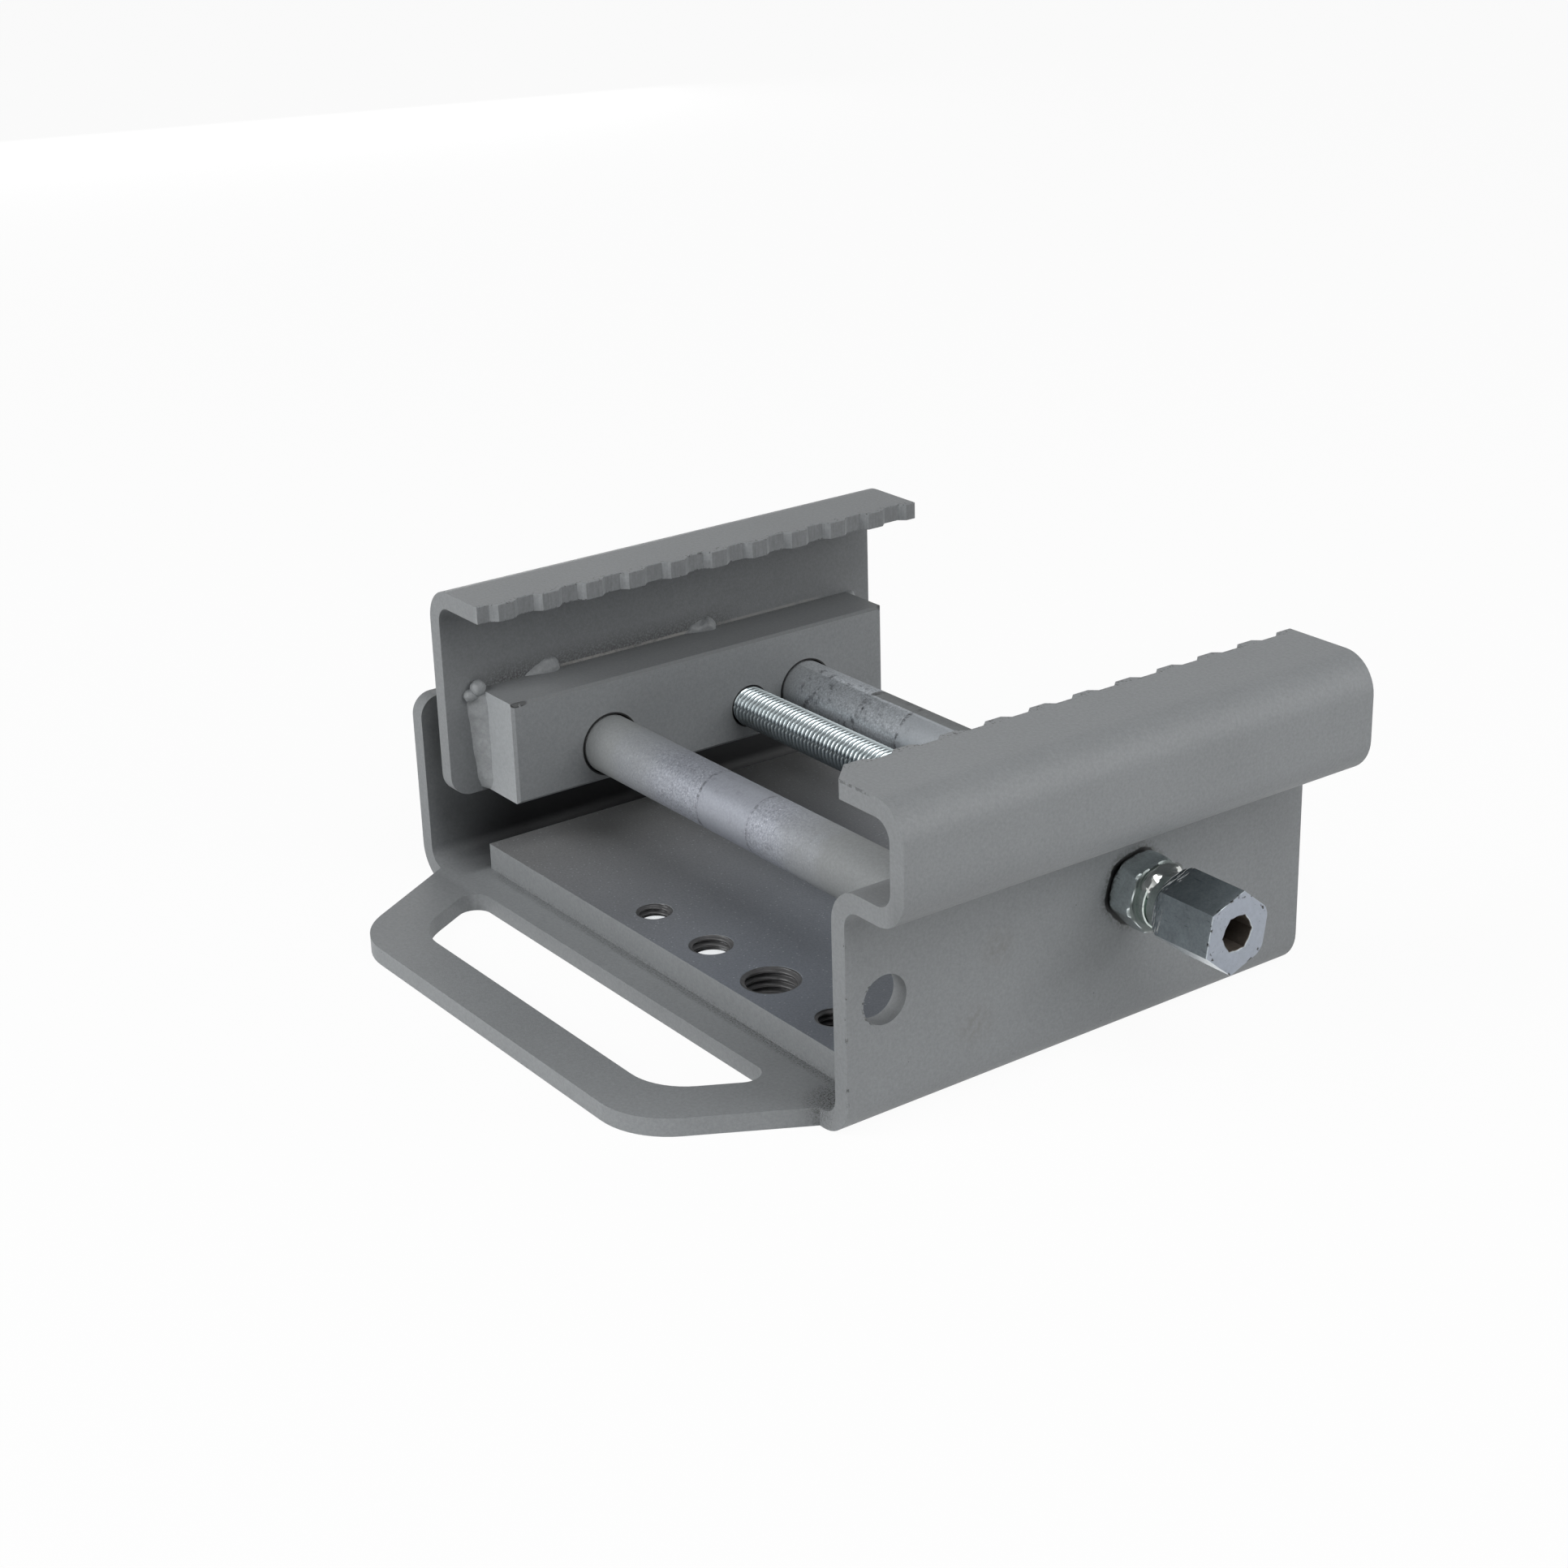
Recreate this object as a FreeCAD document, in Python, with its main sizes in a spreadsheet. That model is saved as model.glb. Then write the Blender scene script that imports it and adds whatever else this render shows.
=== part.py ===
import FreeCAD, Part
import os
import math

# Bolt-on clamp with a screw-driven jaw.
# Row frame: origin at the centre of the base's underside, X along the guide rods towards the drive head,
# Y along the gripping lips, Z up. All lengths in millimetres.

V = FreeCAD.Vector
doc = FreeCAD.newDocument("clamp")

# driving dimensions
DIMS = [
    # folded frame
    ("sheet_thk", 5.0, "thickness of the folded frame and of the jaw sheet"),
    ("clamp_width", 150.0, "length of the lips along Y"),
    ("frame_length", 204.0, "outer face of the low flange to outer face of the high wall"),
    ("flange_height", 56.0, "height of the low flange"),
    ("flange_corner", 6.0, "radius of the low flange's top corners"),
    ("base_bend_in", 5.0, "inner radius of the two bends at the base"),
    ("wall_bend_in", 5.0, "inner radius of the bends of the wall, lips and jaw"),
    ("step_height", 67.0, "top of the outward step in the high wall"),
    ("step_out", 22.5, "how far the wall steps outwards"),
    ("total_height", 94.0, "base underside to the top of the fixed lip"),
    ("lip_length", 29.4, "fixed lip, wall's outer face to the tooth crests"),
    ("lip_corner", 6.0, "cut corner at the front end of the fixed lip"),
    # end loops
    ("loop_reach", 40.0, "how far each end loop stands out along Y"),
    ("loop_left_base", 9.4, "outer edge of the left leg at the base, from the low flange's face"),
    ("loop_left_tip", 33.5, "outer edge of the left leg at the tip"),
    ("loop_right_base", 11.5, "outer edge of the right leg at the base, from the high wall's face"),
    ("loop_right_tip", 34.5, "outer edge of the right leg at the tip, from the high wall's face"),
    ("loop_corner", 22.0, "outer radius of the loop's two corners"),
    ("slot_reach", 26.0, "far edge of the slot from the clamp's end"),
    ("slot_inset", 0.5, "near edge of the slot, inside the clamp's end"),
    ("slot_left_base", 27.3, "left end of the slot at the base"),
    ("slot_left_tip", 42.6, "left end of the slot at its far edge"),
    ("slot_right_base", 29.0, "right end of the slot at the base, from the high wall's face"),
    ("slot_right_tip", 44.2, "right end of the slot at its far edge, from the high wall's face"),
    ("slot_corner_tip", 18.0, "radius of the slot's two far corners"),
    ("slot_corner_base", 5.0, "radius of the slot's two near corners"),
    # teeth of both lips
    ("tooth_depth", 1.8, "depth of the notches in the lips"),
    ("tooth_ramp", 2.0, "length of a notch's sloping flank along the lip"),
    ("notch_floor", 5.0, "length of a notch's floor along the lip"),
    ("fixed_pitch", 13.85, "notch pitch of the fixed lip"),
    ("fixed_first", 13.5, "first notch floor of the fixed lip, from the front end"),
    ("jaw_pitch", 14.1, "notch pitch of the moving lip"),
    ("jaw_first", -1.2, "first notch floor of the moving lip, from the front end"),
    # moving jaw
    ("jaw_at", 15.0, "outer face of the jaw sheet, from the low flange's outer face"),
    ("jaw_bottom", 30.0, "bottom edge of the jaw sheet"),
    ("jaw_top", 93.0, "top of the moving lip"),
    ("jaw_lip", 28.5, "moving lip, sheet's outer face to the tooth crests"),
    ("jaw_corner", 6.5, "radius of the jaw sheet's lower corners"),
    ("block_thk", 18.0, "thickness of the jaw block along X"),
    ("block_short", 20.0, "how much shorter the jaw block is than the lips"),
    ("block_offset", 1.0, "block's centre from the clamp's centre along Y"),
    ("block_bottom", 31.0, "underside of the jaw block"),
    ("block_height", 30.0, "height of the jaw block"),
    ("block_edge", 0.8, "broken edges of the block"),
    # guide rods and spindle
    ("rod_dia", 17.0, "guide rod diameter"),
    ("rod_gap", 0.45, "radial clearance of the rods in the jaw"),
    ("rod_height", 41.5, "height of the rod axes"),
    ("rod_front", -32.5, "Y of the front rod"),
    ("rod_rear", 37.0, "Y of the rear rod"),
    ("spindle_dia", 12.0, "M12 spindle"),
    ("spindle_gap", 0.25, "radial room for the thread flanks in the jaw block"),
    ("spindle_height", 41.0, "height of the spindle axis"),
    ("spindle_side", 16.4, "Y of the spindle axis"),
    ("spindle_start", 8.0, "free end of the spindle, from the low flange's outer face"),
    ("spindle_reach", 21.5, "buried end of the spindle, beyond the high wall"),
    ("spindle_hole", 13.0, "clearance hole of the spindle in both sheets"),
    ("pin_hole", 13.0, "plain hole near the front end of the high wall"),
    ("pin_hole_side", 11.6, "plain hole, from the clamp's front end"),
    ("pin_hole_height", 34.8, "height of the plain hole"),
    # head
    ("head_gap", 0.5, "gap between the head nut and the wall"),
    ("nut_af", 18.0, "across flats of the head nut and of the retaining nut"),
    ("nut_thk", 8.0, "thickness of the head nut"),
    ("nut_turn", 12.0, "turn of the head nut about its axis, degrees"),
    ("retain_thk", 7.5, "thickness of the retaining nut inside the wall"),
    ("drive_stand", 15.5, "start of the drive hexagon, beyond the high wall"),
    ("drive_length", 20.5, "length of the drive hexagon"),
    ("drive_af", 19.0, "across flats of the drive hexagon"),
    ("drive_turn", 20.0, "turn of the drive hexagon, degrees"),
    ("socket_af", 8.5, "across flats of the hexagon socket"),
    ("socket_depth", 12.0, "depth of the hexagon socket"),
    ("neck_high", 2.9, "height of the neck weld over the spindle"),
    # threaded plate
    ("plate_at", 19.5, "left edge of the threaded plate"),
    ("plate_end", 14.5, "right edge of the threaded plate, from the high wall's outer face"),
    ("plate_short", 22.0, "how much narrower the threaded plate is than the lips are long"),
    ("plate_thk", 8.0, "threaded plate thickness"),
    ("thread_last", 34.45, "last threaded hole, from the high wall's outer face"),
    ("thread_pitch", 27.05, "spacing of the threaded holes"),
    ("thread_side", 22.2, "threaded holes, from the clamp's front end"),
    ("thread_small", 10.0, "M10"),
    ("thread_middle", 12.0, "M12"),
    ("thread_large", 16.0, "M16"),
    ("thread_mouth", 0.15, "broken edge at each hole's mouth"),
    ("base_clear", 0.5, "radial clearance of the base's holes under the threaded ones"),
    # welds
    ("plug_thk", 2.0, "depth of the ground plug welds over the rod ends"),
    ("block_weld_side", 4.6, "leg of the block's end welds on the sheet"),
    ("block_weld_face", 3.4, "leg of the block's end welds on the block"),
    ("tack_size", 3.2, "radius of the tack welds along the top seam"),
    ("tack_end_size", 2.6, "radius of the tack weld at the front corner"),
    ("tack_one", 11.2, "front corner tack, from the clamp's front end"),
    ("tack_two", 35.5, "second tack"),
    ("tack_three", 88.8, "third tack"),
]

sheet = doc.addObject("Spreadsheet::Sheet", "Dims")
VALUE = {}
for row, (alias, number, note) in enumerate(DIMS, start=1):
    sheet.set("A%d" % row, alias)
    sheet.set("B%d" % row, "%g" % number)
    sheet.set("C%d" % row, note)
    sheet.setAlias("B%d" % row, alias)
    VALUE[alias] = float(number)
doc.recompute()


# expressions
# A Dim carries the text of an expression on the sheet's cells and its present value.
class Dim:
    def __init__(self, text, value):
        self.text = text
        self.value = value

    def __add__(self, other):
        other = dim(other)
        return Dim("(%s + %s)" % (self.text, other.text), self.value + other.value)

    def __sub__(self, other):
        other = dim(other)
        return Dim("(%s - %s)" % (self.text, other.text), self.value - other.value)

    def __mul__(self, factor):
        return Dim("(%s * %.9f)" % (self.text, factor), self.value * factor)

    def __neg__(self):
        return Dim("(0 - %s)" % self.text, -self.value)


def dim(thing):
    if isinstance(thing, Dim):
        return thing
    return Dim("%.6f" % thing if thing >= 0 else "(0 - %.6f)" % -thing, float(thing))


def D(alias):
    return Dim("Dims." + alias, VALUE[alias])


# X of the row frame from a distance measured from the low flange's outer face
def from_flange(distance):
    return dim(distance) - D("frame_length") * 0.5


# X of the row frame from a distance measured back from the high wall's outer face
def from_wall(distance):
    return D("frame_length") * 0.5 - dim(distance)


# Y of the row frame from a distance measured from the clamp's front end
def from_front(distance):
    return dim(distance) - D("clamp_width") * 0.5


# helpers
def make_body(label):
    body = doc.addObject("PartDesign::Body", label)
    body.Label = label
    return body


def origin_plane(body, role):
    for item in body.Origin.OriginFeatures:
        if item.Role == role:
            return item
    raise RuntimeError("no plane " + role)


def make_sketch(body, name, role, offset=None):
    sketch = body.newObject("Sketcher::SketchObject", name)
    sketch.AttachmentSupport = (origin_plane(body, role), [""])
    sketch.MapMode = "FlatFace"
    if offset is not None:
        place = FreeCAD.Placement(V(0, 0, offset.value), FreeCAD.Rotation())
        sketch.AttachmentOffset = place
        sketch.setExpression(".AttachmentOffset.Base.z", offset.text)
    return sketch


def fix_point(sketch, index, pos, x, y):
    import Sketcher
    tag = "p%d_%d" % (index, pos)
    number = sketch.addConstraint(Sketcher.Constraint("DistanceX", -1, 1, index, pos, x.value))
    sketch.renameConstraint(number, tag + "x")
    sketch.setExpression("Constraints." + tag + "x", x.text)
    number = sketch.addConstraint(Sketcher.Constraint("DistanceY", -1, 1, index, pos, y.value))
    sketch.renameConstraint(number, tag + "y")
    sketch.setExpression("Constraints." + tag + "y", y.text)


def polygon(sketch, points):
    import Sketcher
    points = [(dim(x), dim(y)) for x, y in points]
    count = len(points)
    start = sketch.GeometryCount
    for i in range(count):
        a = points[i]
        b = points[(i + 1) % count]
        line = Part.LineSegment(V(a[0].value, a[1].value, 0), V(b[0].value, b[1].value, 0))
        sketch.addGeometry(line, False)
    for i in range(count):
        after = (i + 1) % count
        sketch.addConstraint(Sketcher.Constraint("Coincident", start + i, 2, start + after, 1))
    for i in range(count):
        fix_point(sketch, start + i, 1, points[i][0], points[i][1])


def circle(sketch, x, y, radius):
    import Sketcher
    x = dim(x)
    y = dim(y)
    radius = dim(radius)
    index = sketch.GeometryCount
    sketch.addGeometry(Part.Circle(V(x.value, y.value, 0), V(0, 0, 1), radius.value), False)
    fix_point(sketch, index, 3, x, y)
    number = sketch.addConstraint(Sketcher.Constraint("Radius", index, radius.value))
    sketch.renameConstraint(number, "r%d" % index)
    sketch.setExpression("Constraints.r%d" % index, radius.text)


def pad(body, sketch, name, length, midplane=False, backwards=False):
    feature = body.newObject("PartDesign::Pad", name)
    feature.Profile = sketch
    feature.Length = length.value
    feature.setExpression("Length", length.text)
    feature.Midplane = midplane
    feature.Reversed = backwards
    doc.recompute()
    return feature


def pocket(body, sketch, name, length):
    before = body.Shape.Volume
    feature = body.newObject("PartDesign::Pocket", name)
    feature.Profile = sketch
    feature.Length = length.value
    feature.setExpression("Length", length.text)
    doc.recompute()
    if not body.Shape.Volume < before - 0.01:
        raise RuntimeError("pocket cuts nothing: " + name)
    return feature


# Names of a feature's straight edges along one axis that pass through the given points.
def edge_names(feature, axis, places):
    found = []
    for index, edge in enumerate(feature.Shape.Edges):
        if len(edge.Vertexes) != 2:
            continue
        a = edge.Vertexes[0].Point
        b = edge.Vertexes[1].Point
        run = b - a
        along = {"x": abs(run.x), "y": abs(run.y), "z": abs(run.z)}
        if along[axis] < 0.9 * run.Length or run.Length < 0.5:
            continue
        for p, q in places:
            if axis == "x":
                near = abs(a.y - p) < 0.05 and abs(a.z - q) < 0.05
            elif axis == "y":
                near = abs(a.x - p) < 0.05 and abs(a.z - q) < 0.05
            else:
                near = abs(a.x - p) < 0.05 and abs(a.y - q) < 0.05
            if near:
                found.append("Edge%d" % (index + 1))
    return found


def fillet(body, base, name, axis, places, radius):
    places = [(p.value, q.value) for p, q in places]
    names = edge_names(base, axis, places)
    if len(names) < len(places):
        raise RuntimeError("%s finds %d edges of %d" % (name, len(names), len(places)))
    feature = body.newObject("PartDesign::Fillet", name)
    feature.Base = (base, names)
    feature.Radius = radius.value
    feature.setExpression("Radius", radius.text)
    doc.recompute()
    return feature


def chamfer(body, base, name, axis, places, size):
    places = [(p.value, q.value) for p, q in places]
    names = edge_names(base, axis, places)
    if len(names) < len(places):
        raise RuntimeError("%s finds %d edges of %d" % (name, len(names), len(places)))
    feature = body.newObject("PartDesign::Chamfer", name)
    feature.Base = (base, names)
    feature.Size = size.value
    feature.setExpression("Size", size.text)
    doc.recompute()
    return feature


def bind_place(thing, x, y, z, rotation):
    thing.Placement = FreeCAD.Placement(V(x.value, y.value, z.value), rotation)
    thing.setExpression(".Placement.Base.x", x.text)
    thing.setExpression(".Placement.Base.y", y.text)
    thing.setExpression(".Placement.Base.z", z.text)


def repeat(body, feature, name, spacing, count):
    pattern = body.newObject("PartDesign::LinearPattern", name)
    pattern.Originals = [feature]
    pattern.Direction = (origin_plane(body, "Y_Axis"), [""])
    length = spacing * (count - 1)
    pattern.Length = length.value
    pattern.setExpression("Length", length.text)
    pattern.Occurrences = count
    body.Tip = pattern
    doc.recompute()
    return pattern


half_width = D("clamp_width") * 0.5
thick = D("sheet_thk")
base_bend_out = D("base_bend_in") + thick
wall_bend_out = D("wall_bend_in") + thick
left_face = from_flange(0)
right_face = from_flange(D("frame_length"))
upper_face = from_flange(D("frame_length") + D("step_out"))
rod_r = D("rod_dia") * 0.5
block_length = D("clamp_width") - D("block_short")
hole_line = from_front(D("thread_side"))
pin_line = from_front(D("pin_hole_side"))
drive_start = D("frame_length") + D("drive_stand")
spindle_end = D("frame_length") + D("spindle_reach")
thread_sizes = ["thread_small", "thread_middle", "thread_large", "thread_small"]


def thread_x(number):
    return from_wall(D("thread_last") + D("thread_pitch") * (3 - number))


# A row of notches in a lip's tip: crest_x is the crest line, inward the side of the sheet.
def notch_points(crest_x, inward, first):
    floor_x = crest_x + D("tooth_depth") * inward
    free_x = crest_x - dim(1.5) * inward
    a = from_front(first)
    b = a + D("notch_floor")
    return [
        (free_x, a - D("tooth_ramp")),
        (crest_x, a - D("tooth_ramp")),
        (floor_x, a),
        (floor_x, b),
        (crest_x, b + D("tooth_ramp")),
        (free_x, b + D("tooth_ramp")),
    ]


# folded frame with its two end loops
def build_frame():
    body = make_body("frame_sheet")
    sketch = make_sketch(body, "frame_profile", "XZ_Plane")
    crest = upper_face - D("lip_length")
    top = D("total_height")
    polygon(sketch, [
        (left_face, dim(0)),
        (right_face, dim(0)),
        (right_face, D("step_height") - thick),
        (upper_face, D("step_height") - thick),
        (upper_face, top),
        (crest, top),
        (crest, top - thick),
        (upper_face - thick, top - thick),
        (upper_face - thick, D("step_height")),
        (right_face - thick, D("step_height")),
        (right_face - thick, thick),
        (left_face + thick, thick),
        (left_face + thick, D("flange_height")),
        (left_face, D("flange_height")),
    ])
    last = pad(body, sketch, "folded_strip", D("clamp_width"), midplane=True)
    last = fillet(body, last, "base_bends_in", "y",
                  [(left_face + thick, thick), (right_face - thick, thick)], D("base_bend_in"))
    last = fillet(body, last, "base_bends_out", "y",
                  [(left_face, dim(0)), (right_face, dim(0))], base_bend_out)
    last = fillet(body, last, "wall_bends_in", "y", [
        (right_face, D("step_height") - thick),
        (upper_face - thick, D("step_height")),
        (upper_face - thick, top - thick)], D("wall_bend_in"))
    last = fillet(body, last, "wall_bends_out", "y", [
        (right_face - thick, D("step_height")),
        (upper_face, D("step_height") - thick),
        (upper_face, top)], wall_bend_out)
    last = fillet(body, last, "flange_corners", "x", [
        (-half_width, D("flange_height")),
        (half_width, D("flange_height"))], D("flange_corner"))
    last = chamfer(body, last, "lip_cut_corner", "z", [(crest, -half_width)], D("lip_corner"))

    # both end loops, in the plane of the base
    for side, word in ((-1, "front"), (1, "rear")):
        outline = make_sketch(body, "loop_outline_" + word, "XY_Plane")
        edge = half_width * side
        tip = (half_width + D("loop_reach")) * side
        overlap = edge - dim(1.0) * side
        polygon(outline, [
            (from_flange(D("loop_left_base")), overlap),
            (from_flange(D("loop_left_base")), edge),
            (from_flange(D("loop_left_tip")), tip),
            (from_wall(D("loop_right_tip")), tip),
            (from_wall(D("loop_right_base")), edge),
            (from_wall(D("loop_right_base")), overlap),
        ])
        last = pad(body, outline, "loop_" + word, thick)
        slot = make_sketch(body, "slot_outline_" + word, "XY_Plane", thick + 1.0)
        near = (half_width - D("slot_inset")) * side
        far = (half_width + D("slot_reach")) * side
        polygon(slot, [
            (from_flange(D("slot_left_base")), near),
            (from_flange(D("slot_left_tip")), far),
            (from_wall(D("slot_right_tip")), far),
            (from_wall(D("slot_right_base")), near),
        ])
        last = pocket(body, slot, "slot_" + word, thick + 2.0)
        last = fillet(body, last, "loop_corners_" + word, "z", [
            (from_flange(D("loop_left_tip")), tip),
            (from_wall(D("loop_right_tip")), tip)], D("loop_corner"))
        last = fillet(body, last, "slot_far_corners_" + word, "z", [
            (from_flange(D("slot_left_tip")), far),
            (from_wall(D("slot_right_tip")), far)], D("slot_corner_tip"))
        last = fillet(body, last, "slot_near_corners_" + word, "z", [
            (from_flange(D("slot_left_base")), near),
            (from_wall(D("slot_right_base")), near)], D("slot_corner_base"))

    # holes of the high wall: both rods, the spindle and the plain hole
    sketch = make_sketch(body, "wall_holes", "YZ_Plane", right_face + 1.0)
    circle(sketch, D("rod_front"), D("rod_height"), rod_r)
    circle(sketch, D("rod_rear"), D("rod_height"), rod_r)
    circle(sketch, D("spindle_side"), D("spindle_height"), D("spindle_hole") * 0.5)
    circle(sketch, pin_line, D("pin_hole_height"), D("pin_hole") * 0.5)
    pocket(body, sketch, "wall_hole_cuts", thick + 2.0)

    # rod holes of the low flange
    sketch = make_sketch(body, "flange_holes", "YZ_Plane", left_face + thick + 1.0)
    circle(sketch, D("rod_front"), D("rod_height"), rod_r)
    circle(sketch, D("rod_rear"), D("rod_height"), rod_r)
    pocket(body, sketch, "flange_hole_cuts", thick + 2.0)

    # clearance holes in the base under the threaded ones
    sketch = make_sketch(body, "base_holes", "XY_Plane", thick + 1.0)
    for number, size in enumerate(thread_sizes):
        circle(sketch, thread_x(number), hole_line, D(size) * 0.5 + D("base_clear"))
    pocket(body, sketch, "base_hole_cuts", thick + 2.0)

    # notches of the fixed lip
    sketch = make_sketch(body, "lip_notch", "XY_Plane", top + 1.0)
    polygon(sketch, notch_points(crest, 1, D("fixed_first")))
    notch = pocket(body, sketch, "lip_notch_cut", thick + 2.0)
    repeat(body, notch, "lip_notches", D("fixed_pitch"), 10)
    return body


# moving jaw sheet
def build_jaw_sheet():
    body = make_body("jaw_sheet")
    outer = from_flange(D("jaw_at"))
    crest = outer + D("jaw_lip")
    top = D("jaw_top")
    sketch = make_sketch(body, "jaw_profile", "XZ_Plane")
    polygon(sketch, [
        (outer, D("jaw_bottom")),
        (outer + thick, D("jaw_bottom")),
        (outer + thick, top - thick),
        (crest, top - thick),
        (crest, top),
        (outer, top),
    ])
    last = pad(body, sketch, "jaw_strip", D("clamp_width"), midplane=True)
    last = fillet(body, last, "jaw_bend_in", "y", [(outer + thick, top - thick)], D("wall_bend_in"))
    last = fillet(body, last, "jaw_bend_out", "y", [(outer, top)], wall_bend_out)
    last = fillet(body, last, "jaw_lower_corners", "x", [
        (-half_width, D("jaw_bottom")), (half_width, D("jaw_bottom"))], D("jaw_corner"))
    sketch = make_sketch(body, "jaw_holes", "YZ_Plane", outer + thick + 1.0)
    circle(sketch, D("rod_front"), D("rod_height"), rod_r + D("rod_gap"))
    circle(sketch, D("rod_rear"), D("rod_height"), rod_r + D("rod_gap"))
    circle(sketch, D("spindle_side"), D("spindle_height"), D("spindle_hole") * 0.5)
    pocket(body, sketch, "jaw_hole_cuts", thick + 2.0)
    sketch = make_sketch(body, "jaw_notch", "XY_Plane", top + 1.0)
    polygon(sketch, notch_points(crest, -1, D("jaw_first")))
    notch = pocket(body, sketch, "jaw_notch_cut", thick + 2.0)
    repeat(body, notch, "jaw_notches", D("jaw_pitch"), 11)
    return body


# jaw block
def build_jaw_block():
    body = make_body("jaw_block")
    back = from_flange(D("jaw_at") + thick)
    face = back + D("block_thk")
    low = D("block_bottom")
    high = low + D("block_height")
    front = D("block_offset") - block_length * 0.5
    rear = D("block_offset") + block_length * 0.5
    sketch = make_sketch(body, "block_outline", "YZ_Plane", back)
    polygon(sketch, [(front, low), (rear, low), (rear, high), (front, high)])
    last = pad(body, sketch, "block_bar", D("block_thk"))
    last = chamfer(body, last, "block_edges_long", "y", [(face, low), (face, high)], D("block_edge"))
    last = chamfer(body, last, "block_edges_short", "z", [(face, front), (face, rear)],
                   D("block_edge"))
    sketch = make_sketch(body, "block_bores", "YZ_Plane", face + 1.0)
    circle(sketch, D("rod_front"), D("rod_height"), rod_r + D("rod_gap"))
    circle(sketch, D("rod_rear"), D("rod_height"), rod_r + D("rod_gap"))
    circle(sketch, D("spindle_side"), D("spindle_height"), D("spindle_dia") * 0.5 + D("spindle_gap"))
    pocket(body, sketch, "block_bore_cuts", D("block_thk") + 2.0)
    return body


# threaded plate on the base
def build_threaded_plate():
    body = make_body("threaded_plate")
    start = from_flange(D("plate_at"))
    end = from_wall(D("plate_end"))
    side = (D("clamp_width") - D("plate_short")) * 0.5
    sketch = make_sketch(body, "plate_outline", "XY_Plane", thick)
    polygon(sketch, [(start, -side), (end, -side), (end, side), (start, side)])
    pad(body, sketch, "plate_bar", D("plate_thk"))
    sketch = make_sketch(body, "plate_holes", "XY_Plane", thick + D("plate_thk") + 1.0)
    for number, size in enumerate(thread_sizes):
        circle(sketch, thread_x(number), hole_line, D(size) * 0.5)
    drilled = pocket(body, sketch, "plate_hole_cuts", D("plate_thk") + 2.0)
    top = (thick + D("plate_thk")).value
    names = []
    for index, edge in enumerate(drilled.Shape.Edges):
        if isinstance(edge.Curve, Part.Circle) and abs(edge.Curve.Center.z - top) < 0.01:
            names.append("Edge%d" % (index + 1))
    mouth = body.newObject("PartDesign::Chamfer", "plate_hole_mouths")
    mouth.Base = (drilled, names)
    mouth.Size = VALUE["thread_mouth"]
    mouth.setExpression("Size", "Dims.thread_mouth")
    doc.recompute()
    return body


# guide rods, let into both upright sheets
def build_rod(label, side):
    rod = doc.addObject("Part::Cylinder", label)
    rod.Label = label
    rod.Radius = rod_r.value
    rod.setExpression("Radius", rod_r.text)
    length = D("frame_length") - D("plug_thk") * 2
    rod.Height = length.value
    rod.setExpression("Height", length.text)
    bind_place(rod, left_face + D("plug_thk"), D(side), D("rod_height"),
               FreeCAD.Rotation(V(0, 1, 0), 90))
    return rod


# Plug weld that closes a rod's hole, ground flush with the sheet's outer face.
def build_plug(label, side, start):
    plug = doc.addObject("Part::Cylinder", label)
    plug.Label = label
    plug.Radius = rod_r.value
    plug.setExpression("Radius", rod_r.text)
    plug.Height = VALUE["plug_thk"]
    plug.setExpression("Height", "Dims.plug_thk")
    bind_place(plug, start, D(side), D("rod_height"), FreeCAD.Rotation(V(0, 1, 0), 90))
    return plug


# spindle, turned about its own axis
def build_spindle():
    body = make_body("spindle")
    radius = D("spindle_dia") * 0.5
    length = spindle_end - D("spindle_start")
    sketch = make_sketch(body, "spindle_profile", "XZ_Plane")
    polygon(sketch, [
        (dim(0), dim(0)),
        (radius - 1.2, dim(0)),
        (radius, dim(1.2)),
        (radius, length),
        (dim(0), length),
    ])
    turned = body.newObject("PartDesign::Revolution", "spindle_turned")
    turned.Profile = sketch
    turned.ReferenceAxis = (sketch, ["V_Axis"])
    turned.Angle = 360
    bind_place(body, from_flange(D("spindle_start")), D("spindle_side"), D("spindle_height"),
               FreeCAD.Rotation(V(0, 1, 0), 90))
    doc.recompute()
    return body


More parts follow.
